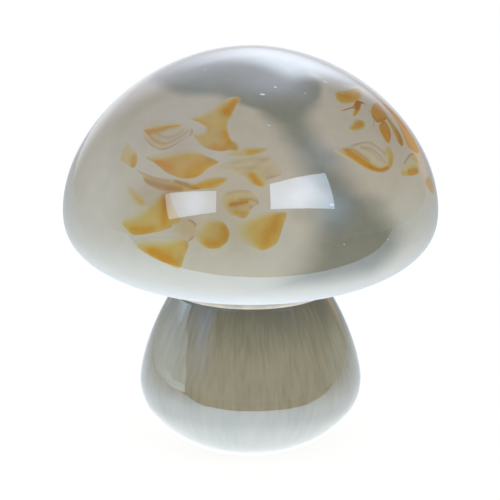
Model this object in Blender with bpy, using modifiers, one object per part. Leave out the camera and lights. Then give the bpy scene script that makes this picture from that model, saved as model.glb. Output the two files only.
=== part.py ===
"""Hand-blown glass mushroom ornament: a cased cap with amber chips, fused to a cased stem.

Metres, +Z up. The object stands on z = 0 around the Z axis, and its front faces -Y.
Both bodies are hollow and two layers thick: a clear casing over a coloured bubble.
"""
import math
from collections import namedtuple

import bmesh
import bpy
import numpy as np
from mathutils import Vector

OBJECT_NAME = "glass_mushroom_ornament"

# Cap, measured at the outside of its clear casing
CAP_RADIUS = 0.0560
CAP_CROWN_HEIGHT = 0.0485
CAP_CROWN_POWER = 1.87
CAP_BELLY_DEPTH = 0.0240
CAP_BELLY_POWER = 2.35
CAP_CASING_WALL = 0.0022
CAP_BUBBLE_WALL = 0.0024

# Stem, measured at the outside of its clear casing
BULB_RADIUS = 0.0335
BULB_BELLY_DEPTH = 0.0224
BULB_BELLY_POWER = 2.0
STEM_SHOULDER_HEIGHT = 0.0485
STEM_SHOULDER_POWER = 1.53
STEM_HEIGHT = 0.0479
FOOT_RADIUS = 0.0150
STEM_CASING_WALL = 0.0020
STEM_BUBBLE_WALL = 0.0018

# Neck, where the hot cap was set on the stem
NECK_SEAT_WIDTH = 0.0047
BEAD_HEIGHT = 0.0018
BEAD_PROUD = 0.0010

# Polished seal in the foot, where the holding rod was broken away
SEAL_RADIUS = 0.0088
SEAL_RECESS = 0.0006
SEAL_KICK = 0.0008
SEAL_CHAMFER = 0.0004
SEAL_KICK_RINGS = 3

# Amber chips, rolled flush into the cap's bubble
CHIP_THICKNESS = 0.0009
CHIP_SINK = 0.00025
CHIP_SIDES = 14

# Gap left between layers that are fused on the real object
FUSE_GAP = 0.0003
CUTTER_OVERSHOOT = 0.0009

# Facets
TURN_STEPS = 40
CAP_RINGS = 14
STEM_RINGS = 9
BEAD_NOSE_POINTS = 7
MERIDIAN_SAMPLES = 400
MERIDIAN_SOUTH_END = -math.pi / 3.0
MERGE_DISTANCE = 0.00001
MM = 0.001

# One chip: its centre east of the cluster's meridian and north of the cap's widest circle,
# its length and width, all in millimetres along the wall, its turn in degrees and its taper
Chip = namedtuple("Chip", "name east north length width turn taper")
Cluster = namedtuple("Cluster", "name bearing chips")

FRONT_CHIPS = (
    Chip("flame", 6.0, 40.5, 18.0, 10.5, 78, 0.50),
    Chip("shell", -10.0, 34.2, 17.0, 7.0, 8, -0.20),
    Chip("bud", -20.2, 25.8, 8.0, 5.5, 30, 0.20),
    Chip("oval", -2.0, 25.9, 22.0, 7.6, 4, 0.10),
    Chip("splinter", 17.0, 30.9, 9.0, 2.0, 0, 0.00),
    Chip("pebble", 20.4, 25.2, 11.5, 7.0, -5, 0.15),
    Chip("ribbon", 2.6, 19.8, 22.0, 2.4, 3, 0.00),
    Chip("wedge", -14.0, 15.8, 6.5, 3.6, 15, 0.40),
    Chip("crescent", -9.0, 9.2, 19.0, 6.5, 19, 0.25),
    Chip("ringlet", 17.0, 15.3, 10.0, 6.5, 5, 0.10),
    Chip("round", 10.4, 6.0, 8.6, 7.2, -30, 0.00),
    Chip("drop", 24.5, 7.6, 13.5, 9.5, 10, 0.20),
    Chip("fan", -4.0, -0.6, 16.0, 8.0, 10, -0.35),
    Chip("petal", 0.6, 7.2, 7.4, 4.2, 25, 0.00),
)
RIGHT_CHIPS = (
    Chip("tip", -1.8, 46.4, 8.5, 3.6, -15, 0.30),
    Chip("spur", -1.4, 40.8, 6.5, 2.6, 50, 0.20),
    Chip("dot", -8.2, 36.4, 5.0, 4.2, 0, 0.00),
    Chip("curl", 7.5, 37.4, 12.0, 6.5, -15, 0.20),
    Chip("fleck", 0.6, 31.2, 7.0, 5.4, 40, 0.10),
    Chip("splinter", 8.3, 29.8, 8.0, 2.4, 30, 0.00),
    Chip("ribbon", 18.5, 31.0, 15.0, 3.4, 110, 0.10),
    Chip("shell", -12.0, 25.8, 16.5, 7.6, -10, 0.25),
    Chip("ringlet", 5.2, 20.4, 10.5, 6.6, -12, 0.00),
    Chip("wedge", 14.0, 11.6, 8.0, 4.6, 60, 0.20),
)
BACK_CHIPS = (
    Chip("flame", -6.0, 40.0, 15.0, 7.5, 100, 0.50),
    Chip("leaf", 6.5, 35.0, 14.0, 6.0, -15, 0.20),
    Chip("oval", -8.0, 24.0, 18.0, 7.0, 8, 0.10),
    Chip("splinter", 9.0, 26.5, 12.0, 2.4, -8, 0.00),
    Chip("round", 11.0, 17.0, 8.0, 7.0, 30, 0.00),
    Chip("crescent", -5.0, 13.0, 15.0, 6.0, -18, 0.25),
    Chip("drop", 8.0, 6.0, 11.0, 8.0, 12, 0.20),
    Chip("fleck", -14.0, 5.0, 6.0, 3.6, 35, 0.10),
)
LEFT_CHIPS = (
    Chip("leaf", -4.0, 42.0, 11.0, 5.0, 60, 0.20),
    Chip("shell", 7.0, 33.0, 15.0, 7.0, 12, 0.25),
    Chip("oval", -9.0, 27.0, 13.0, 6.5, -20, 0.10),
    Chip("ribbon", 4.0, 22.5, 16.0, 2.4, -4, 0.00),
    Chip("crescent", -8.0, 13.5, 13.0, 6.0, 25, 0.25),
    Chip("round", 9.0, 13.0, 8.5, 7.0, -10, 0.00),
    Chip("fan", 0.0, 2.5, 12.0, 6.5, -8, -0.35),
)
# A bearing is in degrees from the front, towards +X
CLUSTERS = (
    Cluster("front", -22.0, FRONT_CHIPS),
    Cluster("right", 60.0, RIGHT_CHIPS),
    Cluster("back", 160.0, BACK_CHIPS),
    Cluster("left", -120.0, LEFT_CHIPS),
)

# A blown form: two quarter curves of unlike height that meet at its widest circle
BlownForm = namedtuple("BlownForm", "radius centre_height crown crown_power belly belly_power")


def curve_share(share, power):
    """Height share of a quarter curve at a share of its radius, or the reverse."""
    return (1.0 - share ** power) ** (1.0 / power)


BULB_HEIGHT = BULB_BELLY_DEPTH * curve_share(FOOT_RADIUS / BULB_RADIUS, BULB_BELLY_POWER)
SHOULDER_SHARE = (STEM_HEIGHT - BULB_HEIGHT) / STEM_SHOULDER_HEIGHT
NECK_RADIUS = BULB_RADIUS * curve_share(SHOULDER_SHARE, STEM_SHOULDER_POWER)
NECK_BORE_RADIUS = NECK_RADIUS - NECK_SEAT_WIDTH
NECK_DROP = CAP_BELLY_DEPTH * curve_share(NECK_RADIUS / CAP_RADIUS, CAP_BELLY_POWER)
CAP_HEIGHT = STEM_HEIGHT + BEAD_HEIGHT + 2.0 * FUSE_GAP + NECK_DROP

CAP = BlownForm(CAP_RADIUS, CAP_HEIGHT, CAP_CROWN_HEIGHT, CAP_CROWN_POWER, CAP_BELLY_DEPTH, CAP_BELLY_POWER)
STEM = BlownForm(
    BULB_RADIUS, BULB_HEIGHT, STEM_SHOULDER_HEIGHT, STEM_SHOULDER_POWER, BULB_BELLY_DEPTH, BULB_BELLY_POWER
)
CAP_BUBBLE_INSET = CAP_CASING_WALL + FUSE_GAP
STEM_BUBBLE_INSET = STEM_CASING_WALL + FUSE_GAP
STEM_FLOOR_HEIGHT = STEM_BUBBLE_INSET + STEM_BUBBLE_WALL


def wall_point(form, latitude, inset):
    """Radius and height of a blown form's wall, moved inwards along its normal."""
    above = latitude >= 0.0
    depth = form.crown if above else form.belly
    power = form.crown_power if above else form.belly_power
    run = max(math.cos(latitude), 0.0) ** (2.0 / power)
    rise = math.sin(abs(latitude)) ** (2.0 / power)
    normal = Vector((run ** (power - 1.0) / form.radius, rise ** (power - 1.0) / depth)).normalized()
    side = 1.0 if above else -1.0
    radius = form.radius * run - inset * normal.x
    height = form.centre_height + side * (depth * rise - inset * normal.y)
    return max(radius, 0.0), height


def latitude_where(form, inset, coordinate, target):
    """Latitude at which a wall reaches a radius below its widest circle, or a height."""
    low, high = -math.pi / 2.0, 0.0 if coordinate == 0 else math.pi / 2.0
    for _ in range(60):
        middle = (low + high) / 2.0
        if wall_point(form, middle, inset)[coordinate] < target:
            low = middle
        else:
            high = middle
    return (low + high) / 2.0


def wall_profile(form, inset, start, stop, rings):
    """Points down a wall from one latitude to another."""
    latitudes = np.linspace(start, stop, rings + 1)
    return [wall_point(form, float(latitude), inset) for latitude in latitudes]


def cap_wall(inset):
    """A cap layer's wall, from its top down and under to the neck bore."""
    bottom = latitude_where(CAP, inset, 0, NECK_BORE_RADIUS)
    return wall_profile(CAP, inset, math.pi / 2.0, bottom, CAP_RINGS)


def stem_wall(inset):
    """A stem layer's wall, from its rim down to its own flat floor."""
    top = latitude_where(STEM, inset, 1, STEM_HEIGHT)
    bottom = latitude_where(STEM, inset, 1, inset)
    return wall_profile(STEM, inset, top, bottom, STEM_RINGS)


def new_collection(name):
    collection = bpy.data.collections.new(name)
    bpy.context.scene.collection.children.link(collection)
    return collection


def glass(name, colour, roughness, transmission):
    """A glass of one colour, with its roughness and how much light goes through it."""
    material = bpy.data.materials.new(name)
    material.use_nodes = True
    shader = material.node_tree.nodes["Principled BSDF"]
    shader.inputs["Base Color"].default_value = (*colour, 1.0)
    shader.inputs["Roughness"].default_value = roughness
    shader.inputs["Metallic"].default_value = 0.0
    shader.inputs["Transmission Weight"].default_value = transmission
    material.diffuse_color = (*colour, 1.0)
    return material


def new_object(name, mesh_builder, collection, material):
    """An object whose mesh comes from a bmesh, shaded smooth."""
    mesh = bpy.data.meshes.new(name)
    mesh_builder.to_mesh(mesh)
    mesh_builder.free()
    mesh.shade_smooth()
    if material is not None:
        mesh.materials.append(material)
    piece = bpy.data.objects.new(name, mesh)
    collection.objects.link(piece)
    return piece


def turned(name, outline, closed, collection, material):
    """A turned piece from an outline of radius and height that runs down its outer side."""
    profile = bmesh.new()
    points = [profile.verts.new((radius, 0.0, height)) for radius, height in outline]
    for first, second in zip(points, points[1:]):
        profile.edges.new((first, second))
    if closed:
        profile.edges.new((points[-1], points[0]))
    piece = new_object(name, profile, collection, material)
    screw = piece.modifiers.new("Turn", "SCREW")
    screw.angle = 2.0 * math.pi
    screw.steps = TURN_STEPS
    screw.render_steps = TURN_STEPS
    screw.use_merge_vertices = True
    screw.merge_threshold = MERGE_DISTANCE
    screw.use_smooth_shade = True
    return piece


def cap_layer(name, inset, wall, collection, material):
    """One layer of the cap, open at the neck."""
    outline = cap_wall(inset) + cap_wall(inset + wall)[::-1]
    return turned(name, outline, False, collection, material)


def stem_layer(name, inset, wall, collection, material):
    """One layer of the stem, open at its rim and at the seal in its floor."""
    floor = [(SEAL_RADIUS, inset), (SEAL_RADIUS, inset + wall)]
    outline = stem_wall(inset) + floor + stem_wall(inset + wall)[::-1]
    return turned(name, outline, True, collection, material)


def neck_bead(collection, material):
    """The ring of glass that fuses the cap's underside to the stem's rim."""
    underside = latitude_where(CAP, 0.0, 0, NECK_RADIUS)
    bore_edge = latitude_where(CAP, 0.0, 0, NECK_BORE_RADIUS)
    seat = wall_profile(CAP, 0.0, bore_edge, underside, 2)
    top = [(radius, height - FUSE_GAP) for radius, height in seat]
    bottom_height = STEM_HEIGHT + FUSE_GAP
    nose_top = top[-1][1]
    middle = (nose_top + bottom_height) / 2.0
    half = (nose_top - bottom_height) / 2.0
    nose = []
    for step in range(1, BEAD_NOSE_POINTS + 1):
        angle = math.pi / 2.0 - math.pi * step / BEAD_NOSE_POINTS
        nose.append((NECK_RADIUS + BEAD_PROUD * math.cos(angle), middle + half * math.sin(angle)))
    outline = top + nose + [(NECK_BORE_RADIUS, bottom_height)]
    return turned("neck_bead", outline, True, collection, material)


def foot_seal(collection, material):
    """The plug that closes the foot, with a polished hollow below."""
    radius = SEAL_RADIUS - FUSE_GAP
    outline = [
        (0.0, STEM_FLOOR_HEIGHT),
        (radius - SEAL_CHAMFER, STEM_FLOOR_HEIGHT),
        (radius, STEM_FLOOR_HEIGHT - SEAL_CHAMFER),
    ]
    for ring in range(SEAL_KICK_RINGS, -1, -1):
        share = ring / SEAL_KICK_RINGS
        outline.append((radius * share, SEAL_RECESS + SEAL_KICK * (1.0 - share ** 2)))
    return turned("foot_seal", outline, False, collection, material)


def meridian():
    """Latitudes along the cap's outer wall, and how far north of the widest circle each lies."""
    latitudes = np.linspace(MERIDIAN_SOUTH_END, math.pi / 2.0, MERIDIAN_SAMPLES)
    points = np.array([wall_point(CAP, float(latitude), 0.0) for latitude in latitudes])
    steps = np.hypot(*np.diff(points, axis=0).T)
    norths = np.concatenate([[0.0], np.cumsum(steps)])
    return latitudes, norths - np.interp(0.0, latitudes, norths)


MERIDIAN_LATITUDES, MERIDIAN_NORTHS = meridian()


def wall_place(bearing, east, north, inset):
    """Point on the cap's wall, inset, that lies east and north along its outer surface."""
    latitude = float(np.interp(north, MERIDIAN_NORTHS, MERIDIAN_LATITUDES))
    angle = math.radians(bearing) + east / wall_point(CAP, latitude, 0.0)[0]
    radius, height = wall_point(CAP, latitude, inset)
    return Vector((radius * math.sin(angle), -radius * math.cos(angle), height))


def chip_point(chip, bearing, unit_x, unit_y, grow, inset):
    """Place of a unit disc's point on a chip's outline, or inside it."""
    along = (chip.length * MM / 2.0 + grow) * unit_x
    across = (chip.width * MM / 2.0 + grow) * unit_y * (1.0 - chip.taper * unit_x)
    turn = math.radians(chip.turn)
    east = chip.east * MM + along * math.cos(turn) - across * math.sin(turn)
    north = chip.north * MM + along * math.sin(turn) + across * math.cos(turn)
    return wall_place(bearing, east, north, inset)


def chip_plate(name, chip, bearing, grow, inset, thickness, collection, material):
    """A plate that follows the cap's wall, with a chip's outline."""
    disc = bmesh.new()
    bmesh.ops.create_circle(disc, cap_ends=True, cap_tris=True, segments=CHIP_SIDES, radius=1.0)
    for corner in disc.verts:
        corner.co = chip_point(chip, bearing, corner.co.x, corner.co.y, grow, inset)
    disc.normal_update()
    piece = new_object(name, disc, collection, material)
    solidify = piece.modifiers.new("Thickness", "SOLIDIFY")
    solidify.thickness = thickness
    solidify.offset = -1.0
    return piece


def amber_chips(chips_collection, cutters_collection, material):
    """All the chips, and the grown plates that cut their beds in the bubble."""
    top = CAP_BUBBLE_INSET + CHIP_SINK
    bed = CUTTER_OVERSHOOT + CHIP_SINK + CHIP_THICKNESS + FUSE_GAP
    for cluster in CLUSTERS:
        for chip in cluster.chips:
            name = f"amber_chip_{cluster.name}_{chip.name}"
            chip_plate(
                name, chip, cluster.bearing, 0.0, top, CHIP_THICKNESS, chips_collection, material
            )
            cutter = chip_plate(
                f"bed_{cluster.name}_{chip.name}", chip, cluster.bearing, FUSE_GAP,
                CAP_BUBBLE_INSET - CUTTER_OVERSHOOT, bed, cutters_collection, None
            )
            cutter.hide_render = True
            cutter.display_type = "WIRE"


def cut_beds(bubble, cutters_collection):
    """Cut the chips' beds into the cap's bubble."""
    boolean = bubble.modifiers.new("Chip beds", "BOOLEAN")
    boolean.operation = "DIFFERENCE"
    boolean.operand_type = "COLLECTION"
    boolean.collection = cutters_collection
    boolean.solver = "EXACT"


def clear_scene():
    for item in list(bpy.data.objects):
        bpy.data.objects.remove(item, do_unlink=True)


def main():
    clear_scene()
    parts = new_collection(OBJECT_NAME)
    cutters = new_collection(OBJECT_NAME + "_cutters")

    clear = glass("clear_lustre_glass", (0.80, 0.83, 0.84), 0.03, 0.9)
    opal = glass("opal_glass", (0.60, 0.57, 0.50), 0.25, 0.1)
    amber = glass("amber_glass", (0.42, 0.24, 0.06), 0.20, 0.2)
    smoke = glass("smoke_streaked_glass", (0.30, 0.29, 0.24), 0.25, 0.1)
    cream = glass("cream_glass", (0.68, 0.64, 0.54), 0.15, 0.1)

    cap_layer("cap_clear_casing", 0.0, CAP_CASING_WALL, parts, clear)
    cap_bubble = cap_layer("cap_opal_bubble", CAP_BUBBLE_INSET, CAP_BUBBLE_WALL, parts, opal)
    amber_chips(parts, cutters, amber)
    cut_beds(cap_bubble, cutters)
    neck_bead(parts, cream)
    stem_layer("stem_clear_casing", 0.0, STEM_CASING_WALL, parts, clear)
    stem_layer("stem_smoke_bubble", STEM_BUBBLE_INSET, STEM_BUBBLE_WALL, parts, smoke)
    foot_seal(parts, cream)


main()
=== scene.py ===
"""Looks of a hand-blown glass mushroom: a clear-cased opal cap with amber chips on a smoky stem.

Metres, +Z up; the front faces -Y. Every piece but the air seeds replaces a plain solid of the frame.
"""

import math
from collections import namedtuple

import bmesh
import bpy
import numpy as np
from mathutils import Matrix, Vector
from mathutils.geometry import delaunay_2d_cdt


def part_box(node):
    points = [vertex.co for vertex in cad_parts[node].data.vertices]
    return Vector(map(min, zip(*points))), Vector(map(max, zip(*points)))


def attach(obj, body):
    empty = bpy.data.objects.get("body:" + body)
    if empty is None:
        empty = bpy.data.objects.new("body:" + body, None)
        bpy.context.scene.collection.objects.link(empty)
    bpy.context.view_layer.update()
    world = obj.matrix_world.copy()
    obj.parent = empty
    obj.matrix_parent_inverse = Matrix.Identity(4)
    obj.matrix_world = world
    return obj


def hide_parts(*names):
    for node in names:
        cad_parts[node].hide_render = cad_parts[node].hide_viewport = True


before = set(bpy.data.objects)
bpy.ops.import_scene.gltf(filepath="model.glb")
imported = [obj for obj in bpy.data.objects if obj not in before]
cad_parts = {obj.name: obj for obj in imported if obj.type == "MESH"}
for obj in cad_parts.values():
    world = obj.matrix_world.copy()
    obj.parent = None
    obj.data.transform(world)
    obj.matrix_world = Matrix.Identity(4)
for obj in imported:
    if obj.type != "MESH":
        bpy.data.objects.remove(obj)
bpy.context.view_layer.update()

MM = 0.001

# Blown forms, as in the part: two quarter curves that meet at the widest circle
BlownForm = namedtuple("BlownForm", "radius widest_height crown crown_power belly belly_power")
CAP_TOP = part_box("cap_clear_casing")[1].z
CAP_CROWN = 0.0485
CAP = BlownForm(0.0560, CAP_TOP - CAP_CROWN, CAP_CROWN, 1.87, 0.0240, 2.35)
STEM_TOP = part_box("stem_clear_casing")[1].z
FOOT_RADIUS = 0.0150
BULB_RADIUS = 0.0335
BULB_BELLY = 0.0224
BULB_HEIGHT = BULB_BELLY * math.sqrt(1.0 - (FOOT_RADIUS / BULB_RADIUS) ** 2)
STEM = BlownForm(BULB_RADIUS, BULB_HEIGHT, 0.0485, 1.53, BULB_BELLY, 2.0)

# Layers, as depths below the outside. A clear casing reaches a little into the layer that it is fused to
CAP_BUBBLE_INSET = 0.0025
CAP_BUBBLE_WALL = 0.0024
STEM_BUBBLE_INSET = 0.0023
STEM_BUBBLE_WALL = 0.0018
FUSED_DEPTH = 0.0002
FUSE_GAP = 0.0003
NECK_RIM_WALL = 0.0047
SEAL_RADIUS = 0.0088
SEAL_EDGE = 0.0005
SEAL_LOWER_EDGE = 0.0002
SEAL_DISH = 0.0008
SEAL_DISH_SHARE = 0.97
SEAL_PIP = 0.00002

# Chips, as depths below the outside of the cap
CHIP_PLATE_INSET = 0.00275
CHIP_PLATE_REACH = 0.0002
CHIP_PLATE_DECIMALS = 6
CHIP_CROWN_INSET = CAP_BUBBLE_INSET - 0.00007
CHIP_RIM_INSET = CAP_BUBBLE_INSET + 0.00006
CHIP_BACK_INSET = 0.0034

# Mesh fineness
CAP_SEGMENTS = 256
CAP_ROWS = 120
BUBBLE_SEGMENTS = 360
BUBBLE_ROWS = 130
STEM_SEGMENTS = 192
STEM_ROWS = 96
BEAD_SEAT_ROWS = 5
BEAD_NOSE_ROWS = 18
SEAL_SEGMENTS = 96
SEAL_ROWS = 16
BISECTIONS = 60
MERGE_DISTANCE = 0.000002
MERIDIAN_SAMPLES = 2000
MERIDIAN_SOUTH_END = -1.2

# Camera, fitted to the outline of cap and stem in the photograph
CAMERA_DISTANCE = 0.800
CAMERA_ELEVATION = 15.0
CAMERA_LENS = 191.84
CAMERA_SENSOR = 36.0
CAMERA_NEAR = 0.01
CAMERA_AIM = Vector((-0.00015, 0.0, 0.0598))

# A fade is where a share is 0 and where it is 1. A grain is the scale, detail and roughness of a noise
Grain = namedtuple("Grain", "scale detail roughness")

# Milky and smoky glass of the cap. Colours are linear
OPAL_CREAM = (0.492, 0.437, 0.350, 1.0)
OPAL_CELADON = (0.448, 0.436, 0.362, 1.0)
OPAL_DRIFT = Grain(42.0, 3.0, 0.5)
OPAL_DRIFT_SHARE = 0.6
OPAL_LOW_SHARE = 0.4
OPAL_LOW_FADE = (0.098, 0.066)
OPAL_DRIFT_FADE = (0.25, 0.70)
OPAL_CLOUD = Grain(260.0, 3.0, 0.5)
OPAL_CLOUD_DEPTH = 0.14
SMOKE_OLIVE = (0.250, 0.248, 0.168, 1.0)
SMOKE_GREY = (0.208, 0.206, 0.175, 1.0)
SMOKE_EDGE_GRAIN = Grain(120.0, 3.0, 0.5)
SMOKE_EDGE_WAVER = 0.6
SMOKE_EDGE_FADE = (-1.0, 1.0)
SMOKE_HAZE = Grain(330.0, 4.0, 0.6)
SMOKE_HAZE_FADE = (0.1, 0.9)
SMOKE_LOW_FADE = (0.108, 0.088)
SMOKE_LOW_DIM = 0.13
HAZE_FILTER = (0.80, 0.68, 0.48, 1.0)
WHITE = (1.0, 1.0, 1.0, 1.0)
BLACK = (0.0, 0.0, 0.0, 1.0)
UNDER_GLASS_ROUGHNESS = 0.6

# Amber chips
AMBER_FILTER = (
    (0.0, WHITE), (0.30, (1.0, 0.93, 0.63, 1.0)), (0.60, (1.0, 0.80, 0.28, 1.0)),
    (0.85, (1.0, 0.64, 0.10, 1.0)), (1.0, (1.0, 0.52, 0.04, 1.0)),
)
AMBER_DENSITY = 0.88
AMBER_CLOUD = Grain(420.0, 3.0, 0.5)
AMBER_CLOUD_DEPTH = 0.36
ROSE_FILTER = (0.68, 0.42, 0.36, 1.0)
ROSE_DENSITY = 0.85
ROSE_RIM_GAIN = 2.0

# Cream glass of the neck bead and the seal
CREAM_GLASS = (0.640, 0.620, 0.515, 1.0)
CREAM_CLOUD = Grain(220.0, 3.0, 0.5)
CREAM_ROUGHNESS = 0.35
# Heights at which the top of the bead turns to painted shade, in the stem's dark colour, under the cap
BEAD_SHADE_FADE = (0.0494, 0.0498)
CLOUD_FADE = (0.3, 0.7)

# Streaks of the stem. A rise is how much a pattern changes up the stem for a change round it
STEM_DARK = (0.170, 0.155, 0.100, 1.0)
STEM_LIGHT = (0.350, 0.317, 0.212, 1.0)
FINE_STREAKS = Grain(26.0, 5.0, 0.62)
FINE_STREAK_RISE = 0.16
FINE_STREAK_SHARE = 0.75
BROAD_STREAKS = Grain(5.0, 2.0, 0.5)
BROAD_STREAK_RISE = 0.35
BROAD_STREAK_SHARE = 0.35
# Painted shade: the stem's glass is darker near the neck, under the cap, and lighter lower down
STEM_SHADE_FADE = (STEM_TOP, 0.030)
STEM_SHADE_SHARE = 0.35
STREAK_FADE = (0.32, 1.18)

# Clear casings and the metal-oxide film on them, its thickness in nanometres
Lustre = namedtuple("Lustre", "thickness ior")
CAP_LUSTRE = Lustre(52.0, 1.95)
STEM_LUSTRE = Lustre(46.0, 2.14)
CLEAR_TINT = (0.97, 0.985, 0.98, 1.0)
CLEAR_PASSED = (0.96, 0.97, 0.96, 1.0)
CLEAR_ROUGHNESS = 0.02
GLASS_IOR = 1.5
DRAWN_GRAIN = Grain(5.0, 2.0, 0.5)
DRAWN_RISE = 0.7
DRAWN_STRENGTH = 0.25
DRAWN_DEPTH = 0.0006

# Table
FLOOR_COLOUR = (0.86, 0.86, 0.86, 1.0)
FLOOR_SEEN_COLOUR = (0.16, 0.16, 0.16, 1.0)
FLOOR_MIRRORED_COLOUR = (0.87, 1.0, 1.20, 1.0)
FLOOR_ROUGHNESS = 0.7
FLOOR_LIFT = 0.90
FLOOR_MIRRORED_FAR = 0.34
FLOOR_MIRRORED_NEAR = 1.09
FLOOR_NEAR_REACH = 0.15
FLOOR_MIRRORED_BEHIND = 0.60
FLOOR_BEHIND_SIDE_FADE = (0.45, 0.15)
FLOOR_BEHIND_FADE = (0.15, 0.60)
FLOOR_MIRRORED_FRONT = -0.0955
FLOOR_FRONT_SLOPE = 0.14
FLOOR_FRONT_FADE = (-0.002, 0.002)
FLOOR_RIGHT_DIM = 0.13
FLOOR_RIGHT_FADE = (0.0, 0.06)
FLOOR_BOUNCE = 0.78
FLOOR_HEIGHT = -0.00005
FLOOR_LEFT, FLOOR_RIGHT = -0.90, 0.90
FLOOR_FRONT, FLOOR_BACK = -0.70, 2.2

# Room, as the lustre mirrors it. Its fades are by direction: east, away from the camera, up, and the slopes
# sideways (east by away) and rise (up by level distance)
AMBIENT = 0.71
ROOM_RADIUS = 2.6
ROOM_SEGMENTS, ROOM_RINGS = 48, 24
LEAST_DISTANCE = 0.05
ROOM_DARK = (0.150, 0.165, 0.165, 1.0)
ROOM_LEFT = (0.43, 0.49, 0.56, 1.0)
ROOM_RIGHT = (0.32, 0.34, 0.32, 1.0)
ROOM_RIGHT_FADE = (-0.3, 0.3)
ROOM_LEFT_TOP_FADE = (0.6, 0.3)
ROOM_RIGHT_TOP_FADE = (0.28, 0.08)
ROOM_SIDE_FADE = (-0.25, 0.2)
ROOM_BACK_FADE = (0.4, 0.75)
ROOM_BACK_DIM = 0.4
UPPER_LEFT_COLOUR = (0.24, 0.31, 0.41, 1.0)
UPPER_LEFT_SIDE_FADE = (-0.15, -0.30)
UPPER_LEFT_UP_FADE = (0.35, 0.55)
UPPER_LEFT_BACK_FADE = (0.68, 0.48)
UPPER_LEFT_FRONT_FADE = (-0.50, -0.30)
GLOW_AXIS = Vector((0.035, 0.867, 0.497))
GLOW_POWER = 6.0
GLOW_LEFT_FADE = (-0.85, -0.42)
GLOW_RIGHT_FADE = (0.70, 0.34)
GLOW_COLOUR = (1.31, 1.27, 1.50, 1.0)
CROWN_SPOT = (0.338, 1.248, 2.236)
CROWN_REACH = 0.56
CROWN_LIGHT = (0.95, 0.89, 1.17, 1.0)
UPPER_RIGHT_SPOT = (1.43, -0.57, 2.08)
UPPER_RIGHT_REACH = 0.52
UPPER_RIGHT_LIGHT = (0.33, 0.41, 0.56, 1.0)
PANEL_COLOUR = (2.85, 2.92, 3.20, 1.0)
PANEL_LEFT_FADE = (-0.40, 0.10)
PANEL_RIGHT_FADE = (0.54, 0.24)
PANEL_TOP_FADE = (1.9, 0.8)
PANEL_BOTTOM_FADE = (0.05, 0.60)
PANEL_FRONT_FADE = (0.0, 0.2)
PANEL_SLANT = 0.65
PANEL_SLANT_START = 0.6
RIGHT_BACK_FADE = (0.18, 0.34)
WARM_COLOUR = (0.66, 0.48, 0.35, 1.0)
WARM_FRONT_FADE = (0.70, 0.82)
WARM_TOP_FADE = (0.25, 0.12)
BACKDROP_COLOUR = (1.12, 1.14, 1.22, 1.0)
BACKDROP_FRONT_FADE = (0.78, 0.98)
BACKDROP_TOP_FADE = (0.30, 0.12)

# Cards and softboxes
CARD_COLOUR = (0.66, 0.77, 0.82, 1.0)
CARD_TOP_COLOUR = (0.72, 0.82, 0.84, 1.0)
CARD_TOP_FADE = (0.16, 0.32)
CARD_FRONT_FADE = (0.25, -0.25)
CARD_BACK_LEVEL = 0.25
CARD_OUTLINE = (
    (-0.62, -0.25, -0.10), (-0.62, -0.25, 0.02), (-0.62, -0.20, 0.145), (-0.62, -0.12, 0.228),
    (-0.62, -0.01, 0.278), (-0.62, 0.06, 0.32), (-0.62, 0.10, 0.37), (-0.62, 0.16, 0.42),
    (-0.62, 0.80, 0.42), (-0.62, 0.80, -0.10),
)
SpotCard = namedtuple("SpotCard", "name corners spot reach colour")
LAVENDER_CARD = SpotCard(
    "lavender_card",
    ((-0.62, 0.15, 0.05), (-0.62, -0.75, 0.05), (-0.62, -0.75, 0.90), (-0.62, 0.15, 0.90)),
    (-0.62, -0.33, 0.34), 0.20, (0.13, 0.17, 0.29, 1.0),
)
BLUE_SPILL = SpotCard(
    "blue_spill",
    ((0.129, -0.230, 0.363), (0.145, -0.416, 0.103), (0.457, -0.244, 0.045), (0.441, -0.058, 0.305)),
    (0.293, -0.237, 0.204), 0.09, (0.05, 0.25, 0.50, 1.0),
)
FOOT_GLOW_COLOUR = (0.46, 0.44, 0.36, 1.0)
FOOT_GLOW_FADE = (0.047, 0.029)
Softbox = namedtuple("Softbox", "corners hot_spot level hot_level")
LEFT_SOFTBOX = Softbox(
    ((-0.289, -0.200, 0.258), (-0.288, -0.264, 0.161), (-0.129, -0.350, 0.227), (-0.124, -0.297, 0.311)),
    (-0.204, -0.281, 0.240), 1.00, 0.95,
)
RIGHT_SOFTBOX = Softbox(
    ((0.070, -0.289, 0.340), (0.076, -0.357, 0.245), (0.293, -0.237, 0.204), (0.247, -0.165, 0.333)),
    (0.170, -0.264, 0.279), 1.60, 0.70,
)
SOFTBOX_COLOUR = (0.91, 0.97, 1.13)
SOFTBOX_HOT_REACH = 0.07
SOFTBOX_FOLDS = Grain(14.0, 3.0, 0.5)
SOFTBOX_FOLD_DEPTH = 0.5
LAMP_AIM = Vector((0.0, -0.045, 0.085))
LAMP_WIDTH, LAMP_HEIGHT = 0.19, 0.115
LAMP_RADIANCE = 2.2


# Curves of the blown forms

def wall(form, latitude, inset):
    """Radius and height of a blown form's wall, moved inwards along its normal."""
    latitude = np.asarray(latitude, dtype=float)
    above = latitude >= 0.0
    depth = np.where(above, form.crown, form.belly)
    power = np.where(above, form.crown_power, form.belly_power)
    run = np.maximum(np.cos(latitude), 0.0) ** (2.0 / power)
    rise = np.abs(np.sin(latitude)) ** (2.0 / power)
    slope_out = run ** (power - 1.0) / form.radius
    slope_up = rise ** (power - 1.0) / depth
    length = np.hypot(slope_out, slope_up)
    side = np.where(above, 1.0, -1.0)
    radius = form.radius * run - inset * slope_out / length
    height = form.widest_height + side * (depth * rise - inset * slope_up / length)
    return np.maximum(radius, 0.0), height


def latitude_where(form, inset, coordinate, target):
    """Latitude at which a wall reaches a radius below its widest circle, or a height."""
    low = -math.pi / 2.0
    high = 0.0 if coordinate == 0 else math.pi / 2.0
    for _ in range(BISECTIONS):
        middle = (low + high) / 2.0
        if wall(form, middle, inset)[coordinate] < target:
            low = middle
        else:
            high = middle
    return (low + high) / 2.0


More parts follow.
